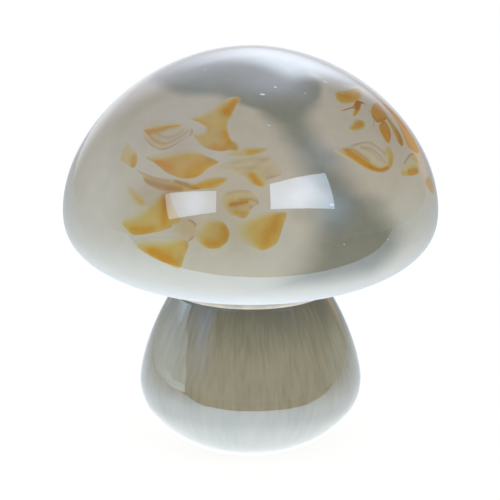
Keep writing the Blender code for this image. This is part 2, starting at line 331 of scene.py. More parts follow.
NECK_RADIUS = float(wall(STEM, latitude_where(STEM, 0.0, 1, STEM_TOP), 0.0)[0])
NECK_BORE = NECK_RADIUS - NECK_RIM_WALL

MERIDIAN = np.linspace(MERIDIAN_SOUTH_END, math.pi / 2.0, MERIDIAN_SAMPLES)


def meridian_norths():
    """How far north of the cap's widest circle each sample of the meridian lies, along the outside."""
    radius, height = wall(CAP, MERIDIAN, 0.0)
    steps = np.hypot(np.diff(radius), np.diff(height))
    norths = np.concatenate([[0.0], np.cumsum(steps)])
    return norths - np.interp(0.0, MERIDIAN, norths)


NORTHS = meridian_norths()


def cap_place(bearing, east, north, inset):
    """Points on a wall of the cap that lie east of a bearing and north of the widest circle."""
    latitude = np.interp(north, NORTHS, MERIDIAN)
    angle = bearing + east / np.maximum(wall(CAP, latitude, 0.0)[0], MM)
    radius, height = wall(CAP, latitude, inset)
    return np.stack([radius * np.sin(angle), -radius * np.cos(angle), height], axis=-1)


def mesh_points(mesh):
    points = np.empty(len(mesh.vertices) * 3)
    mesh.vertices.foreach_get("co", points)
    return points.reshape(-1, 3)


def smooth_step(low, high, value):
    share = np.clip((value - low) / (high - low), 0.0, 1.0)
    return share * share * (3.0 - 2.0 * share)


# Node trees

class Field:
    """A number in a node tree, so that Math nodes can be written as sums."""

    def __init__(self, tree, socket):
        self.tree = tree
        self.socket = socket

    def math(self, operation, *others):
        node = self.tree.nodes.new("ShaderNodeMath")
        node.operation = operation
        for socket, value in zip(node.inputs, (self, *others)):
            feed(socket, value)
        return Field(self.tree, node.outputs[0])

    def __add__(self, other):
        return self.math("ADD", other)

    def __sub__(self, other):
        return self.math("SUBTRACT", other)

    def __mul__(self, other):
        return self.math("MULTIPLY", other)

    def __truediv__(self, other):
        return self.math("DIVIDE", other)

    def __pow__(self, other):
        return self.math("POWER", other)

    def blend(self, other, share):
        """This value, or the other where share is 1."""
        return self + (other - self) * share

    def dim(self, amount=1.0):
        """A factor that falls from 1 by an amount, where this share is 1."""
        return self * -amount + 1.0


def feed(socket, value):
    """Give a node's input a plain value, or link it to a field or another node's output."""
    if isinstance(value, Field):
        value = value.socket
    if isinstance(value, bpy.types.NodeSocket):
        socket.id_data.links.new(value, socket)
    else:
        socket.default_value = value


def set_inputs(node, **values):
    """Set or link inputs of a node by name, with an underscore for each space."""
    for name, value in values.items():
        feed(node.inputs[name.replace("_", " ")], value)


def add_node(tree, kind, **values):
    """A node with some of its inputs set or linked."""
    node = tree.nodes.new(kind)
    set_inputs(node, **values)
    return node


def normalized(tree, vector):
    """A vector drawn out or in to a length of 1."""
    node = tree.nodes.new("ShaderNodeVectorMath")
    node.operation = "NORMALIZE"
    feed(node.inputs[0], vector)
    return node.outputs[0]


def named_vector(tree, name):
    node = tree.nodes.new("GeometryNodeInputNamedAttribute")
    node.data_type = "FLOAT_VECTOR"
    node.inputs["Name"].default_value = name
    return node.outputs["Attribute"]


FLOAT = "NodeSocketFloat"
WHOLE = "NodeSocketInt"
BLOWN_WALL_INPUTS = (
    ("Radius", FLOAT), ("Widest Height", FLOAT), ("Crown", FLOAT), ("Crown Power", FLOAT),
    ("Belly", FLOAT), ("Belly Power", FLOAT), ("Outer Inset", FLOAT), ("Inner Inset", FLOAT),
    ("Outer Top", FLOAT), ("Outer Bottom", FLOAT), ("Inner Bottom", FLOAT), ("Inner Top", FLOAT),
    ("Bore", FLOAT), ("Rows", WHOLE), ("Segments", WHOLE), ("Has Rim", WHOLE),
    ("Material", "NodeSocketMaterial"),
)


def geometry_tree(name, inputs):
    """An empty Geometry Nodes tree, its input fields by name, and its group nodes."""
    tree = bpy.data.node_groups.new(name, "GeometryNodeTree")
    tree.interface.new_socket("Geometry", in_out="OUTPUT", socket_type="NodeSocketGeometry")
    for label, kind in inputs:
        tree.interface.new_socket(label, in_out="INPUT", socket_type=kind)
    group_in = tree.nodes.new("NodeGroupInput")
    group_out = tree.nodes.new("NodeGroupOutput")
    fields = {label: Field(tree, group_in.outputs[label]) for label, _ in inputs}
    return tree, fields, group_out


def finish_tree(tree, geometry, material, group_out):
    """Close a tree with smooth shading, real geometry and its material."""
    smooth = add_node(tree, "GeometryNodeSetShadeSmooth", Geometry=geometry)
    real = add_node(tree, "GeometryNodeRealizeInstances", Geometry=smooth.outputs[0])
    finish = add_node(tree, "GeometryNodeSetMaterial", Geometry=real.outputs[0], Material=material)
    tree.links.new(finish.outputs[0], group_out.inputs[0])


def blown_wall_tree():
    """A turned layer of glass: down its outside, round the bore and up its inside."""
    tree, sizes, group_out = geometry_tree("blown_wall", BLOWN_WALL_INPUTS)
    # Each wall has a point more than it has rows, and the bore has two points. A rim adds a last row,
    # which lies on the first and closes the outline
    rows = sizes["Rows"]
    columns = sizes["Segments"] + 1.0
    outline_rows = rows * 2.0 + 4.0
    bore_middle = rows + 1.5
    grid = add_node(
        tree, "GeometryNodeMeshGrid", Vertices_X=outline_rows + sizes["Has Rim"], Vertices_Y=columns
    )
    index = Field(tree, tree.nodes.new("GeometryNodeInputIndex").outputs[0])
    row = ((index + 0.5) / columns).math("FLOOR")
    column = index - row * columns
    row = row.math("FLOORED_MODULO", outline_rows)

    is_inner = row.math("GREATER_THAN", bore_middle)
    is_bore = (row - bore_middle).math("ABSOLUTE").math("LESS_THAN", 1.0)
    share_down = (row / rows).math("MINIMUM", 1.0)
    share_up = ((row - rows - 3.0) / rows).math("MAXIMUM", 0.0)
    outer = sizes["Outer Top"].blend(sizes["Outer Bottom"], share_down)
    inner = sizes["Inner Bottom"].blend(sizes["Inner Top"], share_up)
    latitude = outer.blend(inner, is_inner)
    inset = sizes["Outer Inset"].blend(sizes["Inner Inset"], is_inner)

    below = latitude.math("LESS_THAN", 0.0)
    depth = sizes["Crown"].blend(sizes["Belly"], below)
    power = sizes["Crown Power"].blend(sizes["Belly Power"], below)
    exponent = (power ** -1.0) * 2.0
    run = latitude.math("COSINE").math("MAXIMUM", 0.0) ** exponent
    rise = latitude.math("SINE").math("ABSOLUTE") ** exponent
    slope_out = run ** (power - 1.0) / sizes["Radius"]
    slope_up = rise ** (power - 1.0) / depth
    length = (slope_out * slope_out + slope_up * slope_up).math("SQRT")
    side = (below * -2.0) + 1.0
    radius = sizes["Radius"] * run - inset * slope_out / length
    radius = radius.math("MAXIMUM", 0.0).blend(sizes["Bore"], is_bore)
    height = sizes["Widest Height"] + side * (depth * rise - inset * slope_up / length)

    turn = column * (2.0 * math.pi) / sizes["Segments"]
    place = add_node(
        tree, "ShaderNodeCombineXYZ",
        X=radius * turn.math("SINE"), Y=radius * turn.math("COSINE") * -1.0, Z=height,
    )
    moved = add_node(tree, "GeometryNodeSetPosition", Geometry=grid.outputs[0], Position=place.outputs[0])
    merged = add_node(
        tree, "GeometryNodeMergeByDistance", Geometry=moved.outputs[0], Distance=MERGE_DISTANCE
    )
    finish_tree(tree, merged.outputs[0], sizes["Material"], group_out)
    return tree


def add_object(name, data):
    """A new object in the scene."""
    thing = bpy.data.objects.new(name, data)
    bpy.context.scene.collection.objects.link(thing)
    return thing


def run_tree(name, tree, mesh, values):
    """A piece whose plain mesh is what a tree makes of a start mesh."""
    piece = add_object(name, mesh)
    modifier = piece.modifiers.new("Shape", "NODES")
    modifier.node_group = tree
    sockets = {item.name: item.identifier for item in tree.interface.items_tree if item.in_out == "INPUT"}
    for label, value in values.items():
        modifier[sockets[label]] = value
    graph = bpy.context.evaluated_depsgraph_get()
    result = bpy.data.meshes.new_from_object(piece.evaluated_get(graph))
    piece.modifiers.clear()
    piece.data = result
    result.name = name
    face_out(result)
    return piece


def signed_volume(mesh):
    mesh.calc_loop_triangles()
    corners = np.empty(len(mesh.loop_triangles) * 3, dtype=np.int32)
    mesh.loop_triangles.foreach_get("vertices", corners)
    first, second, third = mesh_points(mesh)[corners.reshape(-1, 3)].transpose(1, 0, 2)
    return np.einsum("ij,ij->i", first, np.cross(second, third)).sum()


def face_out(mesh):
    if signed_volume(mesh) < 0.0:
        mesh.flip_normals()


def mesh_piece(name, points, faces, material):
    """A smooth closed piece from points and faces."""
    mesh = bpy.data.meshes.new(name)
    mesh.from_pydata(points, [], faces)
    mesh.materials.append(material)
    mesh.shade_smooth()
    face_out(mesh)
    return add_object(name, mesh)


def blown_layer(name, form, insets, tops, bottoms, bore, rows, segments, material):
    """A layer of a blown form between two insets, with the latitudes at which its walls start and end."""
    values = {
        "Radius": form.radius, "Widest Height": form.widest_height,
        "Crown": form.crown, "Crown Power": form.crown_power,
        "Belly": form.belly, "Belly Power": form.belly_power,
        "Outer Inset": insets[0], "Inner Inset": insets[1],
        "Outer Top": tops[0], "Inner Top": tops[1],
        "Outer Bottom": bottoms[0], "Inner Bottom": bottoms[1],
        "Bore": bore, "Rows": rows, "Segments": segments,
        "Has Rim": int(tops[0] < math.pi / 2.0), "Material": material,
    }
    return run_tree(name, BLOWN_WALL, bpy.data.meshes.new(name), values)


def cap_layer(name, insets, rows, segments, material):
    bottoms = [latitude_where(CAP, inset, 0, NECK_BORE) for inset in insets]
    tops = (math.pi / 2.0, math.pi / 2.0)
    return blown_layer(name, CAP, insets, tops, bottoms, NECK_BORE, rows, segments, material)


def stem_layer(name, insets, rows, segments, material):
    tops = [latitude_where(STEM, inset, 1, STEM_TOP) for inset in insets]
    bottoms = [latitude_where(STEM, inset, 1, inset) for inset in insets]
    return blown_layer(name, STEM, insets, tops, bottoms, SEAL_RADIUS, rows, segments, material)


# Materials

def new_material(name):
    """A material with its tree, its Principled shader and its output."""
    material = bpy.data.materials.new(name)
    material.use_nodes = True
    tree = material.node_tree
    return material, tree, tree.nodes["Principled BSDF"], tree.nodes["Material Output"]


MIX_INPUTS = (0, 6, 7)
MIX_RESULT = 2


def mix_colours(tree, share, first, second, blend="MIX"):
    """A mix of two colours. A colour is a plain value or a socket."""
    node = tree.nodes.new("ShaderNodeMix")
    node.data_type = "RGBA"
    node.blend_type = blend
    for index, value in zip(MIX_INPUTS, (share, first, second)):
        feed(node.inputs[index], value)
    return node.outputs[MIX_RESULT]


def multiply_colours(tree, first, second):
    return mix_colours(tree, 1.0, first, second, "MULTIPLY")


def object_place(tree):
    return tree.nodes.new("ShaderNodeTexCoord").outputs["Object"]


def split(tree, vector):
    """The three coordinates of a vector."""
    parts = add_node(tree, "ShaderNodeSeparateXYZ", Vector=vector)
    return [Field(tree, parts.outputs[axis]) for axis in "XYZ"]


def height_of(tree):
    return split(tree, object_place(tree))[2]


def noise(tree, grain, place=None):
    node = add_node(
        tree, "ShaderNodeTexNoise", Vector=place or object_place(tree),
        Scale=grain.scale, Detail=grain.detail, Roughness=grain.roughness,
    )
    return Field(tree, node.outputs["Fac"])


def waver(tree, grain, depth):
    """A factor that wavers about 1, by a depth in all."""
    return noise(tree, grain) * depth + (1.0 - depth / 2.0)


def ramp(tree, value, fade):
    """The share of the way through a fade, eased at both ends."""
    low, high = fade
    node = add_node(tree, "ShaderNodeMapRange", Value=value, From_Min=low, From_Max=high)
    node.interpolation_type = "SMOOTHSTEP"
    return Field(tree, node.outputs["Result"])


def attribute(tree, name):
    node = tree.nodes.new("ShaderNodeAttribute")
    node.attribute_name = name
    return Field(tree, node.outputs["Fac"])


def opal_colour_group():
    """Milky glass: cream that drifts to a pale celadon, with a fine cloudiness."""
    tree = bpy.data.node_groups.new("opal_colour", "ShaderNodeTree")
    tree.interface.new_socket("Color", in_out="OUTPUT", socket_type="NodeSocketColor")
    low = ramp(tree, height_of(tree), OPAL_LOW_FADE)
    drift = noise(tree, OPAL_DRIFT) * OPAL_DRIFT_SHARE + low * OPAL_LOW_SHARE
    colour = mix_colours(tree, ramp(tree, drift, OPAL_DRIFT_FADE), OPAL_CREAM, OPAL_CELADON)
    cloud = waver(tree, OPAL_CLOUD, OPAL_CLOUD_DEPTH)
    shade = add_node(tree, "ShaderNodeCombineColor", Red=cloud, Green=cloud, Blue=cloud)
    group_out = tree.nodes.new("NodeGroupOutput")
    feed(group_out.inputs[0], multiply_colours(tree, colour, shade.outputs[0]))
    return tree


def opal_colour(tree):
    node = tree.nodes.new("ShaderNodeGroup")
    node.node_tree = OPAL_COLOUR
    return node.outputs[0]


def milky_colour(tree):
    """Milky glass, with the amber that has bled into it from the chips."""
    bled = mix_colours(tree, attribute(tree, "warm_haze"), WHITE, HAZE_FILTER)
    return multiply_colours(tree, opal_colour(tree), bled)


def under_glass(shader, colour):
    """Finish of a layer that the clear casing covers, so that it has no gloss of its own."""
    set_inputs(shader, Base_Color=colour, Roughness=UNDER_GLASS_ROUGHNESS, Specular_IOR_Level=0.0)


def opal_material():
    """The cap's bubble: milky lobes round the chips, thinning to smoky glass between them."""
    material, tree, shader, _ = new_material("opal_glass")
    edge = attribute(tree, "smoke_edge") + (noise(tree, SMOKE_EDGE_GRAIN) - 0.5) * SMOKE_EDGE_WAVER
    haze = ramp(tree, noise(tree, SMOKE_HAZE), SMOKE_HAZE_FADE)
    smoke = mix_colours(tree, haze, SMOKE_GREY, SMOKE_OLIVE)
    low = ramp(tree, height_of(tree), SMOKE_LOW_FADE)
    smoke = mix_colours(tree, low * SMOKE_LOW_DIM, smoke, BLACK)
    under_glass(shader, mix_colours(tree, ramp(tree, edge, SMOKE_EDGE_FADE), milky_colour(tree), smoke))
    return material


def amber_filter(tree, depth):
    """What a depth of amber lets through."""
    node = tree.nodes.new("ShaderNodeValToRGB")
    elements = node.color_ramp.elements
    while len(elements) < len(AMBER_FILTER):
        elements.new(0.5)
    for element, (position, colour) in zip(elements, AMBER_FILTER):
        element.position = position
        element.color = colour
    set_inputs(node, Fac=depth * AMBER_DENSITY)
    return node.outputs["Color"]


def amber_material():
    """Chips: amber that filters the milky glass below it, with rose-brown drawn lines."""
    material, tree, shader, _ = new_material("amber_glass")
    depth = attribute(tree, "amber_depth") * waver(tree, AMBER_CLOUD, AMBER_CLOUD_DEPTH)
    amber = multiply_colours(tree, milky_colour(tree), amber_filter(tree, depth))
    rose = (attribute(tree, "rose_line") * ROSE_DENSITY).math("MINIMUM", 1.0)
    under_glass(shader, multiply_colours(tree, amber, mix_colours(tree, rose, WHITE, ROSE_FILTER)))
    return material


def streak_place(tree, rise):
    """Coordinates for a pattern that is drawn out up and down a turned piece."""
    east, away, up = split(tree, object_place(tree))
    flat = add_node(tree, "ShaderNodeCombineXYZ", X=east, Y=away)
    east, away, _ = split(tree, normalized(tree, flat.outputs[0]))
    return add_node(tree, "ShaderNodeCombineXYZ", X=east, Y=away, Z=up * (rise / BULB_RADIUS)).outputs[0]


def smoke_material():
    """The stem's bubble: smoky olive glass, drawn out in fine upright streaks, with painted shade that
    darkens it near the neck under the cap.
    """
    material, tree, shader, _ = new_material("smoke_streaked_glass")
    fine = noise(tree, FINE_STREAKS, streak_place(tree, FINE_STREAK_RISE)) * FINE_STREAK_SHARE
    broad = noise(tree, BROAD_STREAKS, streak_place(tree, BROAD_STREAK_RISE)) * BROAD_STREAK_SHARE
    # Painted shade under the cap: darker near the neck, lighter lower down the stem
    lower = ramp(tree, height_of(tree), STEM_SHADE_FADE) * STEM_SHADE_SHARE
    share = ramp(tree, fine + broad + lower, STREAK_FADE)
    under_glass(shader, mix_colours(tree, share, STEM_DARK, STEM_LIGHT))
    return material


def clear_material(name, lustre):
    """Clear glass with a thin metal-oxide lustre on it. Light passes straight through to what it covers."""
    material, tree, shader, output = new_material(name)
    set_inputs(
        shader, Base_Color=CLEAR_TINT, Roughness=CLEAR_ROUGHNESS, IOR=GLASS_IOR, Transmission_Weight=1.0,
        Thin_Film_Thickness=lustre.thickness, Thin_Film_IOR=lustre.ior,
    )
    path = tree.nodes.new("ShaderNodeLightPath")
    shadow = Field(tree, path.outputs["Is Shadow Ray"])
    lit = shadow.math("MAXIMUM", Field(tree, path.outputs["Is Diffuse Ray"]))
    through = add_node(tree, "ShaderNodeBsdfTransparent", Color=CLEAR_PASSED)
    mixed = tree.nodes.new("ShaderNodeMixShader")
    for socket, value in zip(mixed.inputs, (lit, shader.outputs[0], through.outputs[0])):
        feed(socket, value)
    set_inputs(output, Surface=mixed.outputs[0])
    return material


def drawn_bump(material):
    """A slight unevenness of the stem's casing, left by the drawing of the hot glass."""
    tree = material.node_tree
    height = noise(tree, DRAWN_GRAIN, streak_place(tree, DRAWN_RISE))
    bump = add_node(tree, "ShaderNodeBump", Height=height, Strength=DRAWN_STRENGTH, Distance=DRAWN_DEPTH)
    set_inputs(tree.nodes["Principled BSDF"], Normal=bump.outputs[0])


def cream_material():
    """Cream opal glass of the neck bead and the seal, cloudy, with a line of painted shade in the stem's
    dark colour where the bead meets the cap.
    """
    material, tree, shader, _ = new_material("cream_glass")
    cloud = ramp(tree, noise(tree, CREAM_CLOUD), CLOUD_FADE)
    cream = mix_colours(tree, cloud, CREAM_GLASS, OPAL_CREAM)
    # Painted shade along the top of the bead, where it meets the cap
    painted_shade = ramp(tree, height_of(tree), BEAD_SHADE_FADE)
    colour = mix_colours(tree, painted_shade, cream, STEM_DARK)
    set_inputs(shader, Base_Color=colour, Roughness=CREAM_ROUGHNESS, IOR=GLASS_IOR)
    return material


# Smoky gap between the front and right lobes: north of the cap's widest circle in millimetres, the
# bearings of its two sides in degrees, and how softly each side fades in millimetres
GapRow = namedtuple("GapRow", "north left right left_fade right_fade")
FRONT_GAP = (
    GapRow(-16.0, 8.0, 36.0, 9.0, 9.0), GapRow(-1.0, 17.5, 51.0, 9.0, 9.0),
    GapRow(4.0, 19.5, 49.0, 7.0, 9.0), GapRow(8.0, 20.5, 45.0, 6.5, 8.5),
    GapRow(12.0, 21.0, 43.0, 15.0, 8.5), GapRow(16.0, 24.0, 37.0, 6.0, 8.0),
    GapRow(20.0, 21.5, 35.0, 5.5, 8.0), GapRow(24.0, 19.5, 32.5, 6.0, 8.0),
    GapRow(28.0, 17.5, 32.0, 7.0, 8.0), GapRow(32.0, 15.5, 28.0, 5.0, 5.0),
    GapRow(36.0, 14.0, 26.5, 5.0, 5.5), GapRow(40.0, 11.5, 26.5, 5.0, 5.5),
    GapRow(43.0, 7.5, 28.5, 4.0, 4.5), GapRow(46.0, 4.0, 35.0, 3.0, 5.0),
    GapRow(49.0, -8.0, 42.0, 3.0, 2.0), GapRow(52.0, -15.0, 48.0, 3.0, 2.0),
    GapRow(55.0, -22.0, 54.0, 3.0, 2.5),
)
# Where the gap reaches below the widest circle, its dark colour is painted shade on the cap's underside
GAP_BOTTOM, GAP_BOTTOM_FADE = -11.5, 5.0
GAP_MIDDLE = 24.5
HIDDEN_GAP_BEARINGS = (106.0, 205.0)

# Where the smoky crown starts, by bearing
CrownRow = namedtuple("CrownRow", "bearing north")
CROWN_EDGE = (
    CrownRow(-180.0, 53.0), CrownRow(-100.0, 50.0), CrownRow(-60.0, 50.5), CrownRow(-45.0, 50.0),
    CrownRow(-30.0, 51.0), CrownRow(-20.0, 51.4), CrownRow(-10.0, 49.5), CrownRow(-5.0, 49.0),
    CrownRow(0.0, 48.0), CrownRow(8.0, 46.5), CrownRow(35.0, 47.5), CrownRow(40.0, 50.0),
    CrownRow(45.0, 54.5), CrownRow(52.0, 58.0), CrownRow(80.0, 57.5), CrownRow(130.0, 54.0),
    CrownRow(180.0, 53.0),
)
CROWN_FADE = 2.6
EDGE_LIMIT = 3.0


def smooth_through(value, places, heights):
    """A smooth curve through points, read at values."""
    slopes = np.gradient(heights, places)
    value = np.clip(value, places[0], places[-1])
    index = np.clip(np.searchsorted(places, value) - 1, 0, len(places) - 2)
    span = places[index + 1] - places[index]
    share = (value - places[index]) / span
    ease = share * share * (3.0 - 2.0 * share)
    start_pull = share * (1.0 - share) ** 2
    end_pull = share * share * (share - 1.0)
    level = heights[index] + (heights[index + 1] - heights[index]) * ease
    return level + span * (slopes[index] * start_pull + slopes[index + 1] * end_pull)


def cap_chart(points):
    """Bearing in degrees, north in millimetres and millimetres per degree of points on the cap's bubble."""
    bearing = np.degrees(np.arctan2(points[:, 0], -points[:, 1]))
    wall_heights = wall(CAP, MERIDIAN, CAP_BUBBLE_INSET)[1]
    latitude = np.interp(points[:, 2], wall_heights, MERIDIAN)
    north = np.interp(latitude, MERIDIAN, NORTHS) / MM
    return bearing, north, np.radians(wall(CAP, latitude, 0.0)[0] / MM)


def smoke_edge(points):
    """How far each point of the bubble lies inside the smoky glass, in shares of the fade there."""
    bearing, north, mm_per_degree = cap_chart(points)
    norths, lefts, rights, left_fades, right_fades = np.array(FRONT_GAP).T
    left = smooth_through(north, norths, lefts)
    right = smooth_through(north, norths, rights)
    left_fade = np.interp(north, norths, left_fades)
    right_fade = np.interp(north, norths, right_fades)
    # Below the widest circle the gap's dark colour is painted shade, fading out at the gap's bottom
    above_bottom = (north - GAP_BOTTOM) / GAP_BOTTOM_FADE
    crown_bearings, crown_norths = np.array(CROWN_EDGE).T
    edge = (north - smooth_through(bearing, crown_bearings, crown_norths)) / CROWN_FADE
    for middle in (GAP_MIDDLE, *HIDDEN_GAP_BEARINGS):
        away = (bearing - middle + 180.0) % 360.0 - 180.0 + GAP_MIDDLE
        inside_left = (away - left) * mm_per_degree / left_fade
        inside_right = (right - away) * mm_per_degree / right_fade
        inside = np.minimum(np.minimum(inside_left, inside_right), above_bottom)
        edge = np.maximum(edge, inside)
    return np.clip(edge, -EDGE_LIMIT, EDGE_LIMIT)


# Where colour has bled from the chips into the milky glass
HazeSpot = namedtuple("HazeSpot", "bearing north reach strength")
WARM_HAZE = (
    HazeSpot(-7.5, 12.0, 9.0, 0.36), HazeSpot(-20.0, 7.0, 4.5, 0.60), HazeSpot(-35.0, 16.5, 5.0, 0.50),
    HazeSpot(-26.0, 15.0, 5.0, 0.70), HazeSpot(-15.0, 36.0, 4.0, 0.25), HazeSpot(-3.0, 4.5, 5.0, 0.25),
    HazeSpot(-1.0, 24.0, 5.0, 0.06), HazeSpot(-28.5, 31.0, 6.0, 0.42), HazeSpot(-41.0, 33.0, 5.0, 0.25),
    HazeSpot(64.0, 30.0, 7.0, 0.20), HazeSpot(86.0, 34.0, 7.0, 0.35),
)


def warm_haze(points):
    """How much amber has bled into each point of the bubble."""
    bearing, north, mm_per_degree = cap_chart(points)
    total = np.zeros(len(points))
    for spot in WARM_HAZE:
        gap = np.hypot((bearing - spot.bearing) * mm_per_degree, north - spot.north)
        total = total + spot.strength * np.exp(-(gap / spot.reach) ** 2)
    return total


def set_values(mesh, name, values):
    layer = mesh.attributes.new(name, "FLOAT", "POINT")
    layer.data.foreach_set("value", np.asarray(values, dtype=np.float32))


def set_vectors(mesh, name, vectors):
    layer = mesh.attributes.new(name, "FLOAT_VECTOR", "POINT")
    layer.data.foreach_set("vector", np.asarray(vectors, dtype=np.float32).ravel())


# Chips

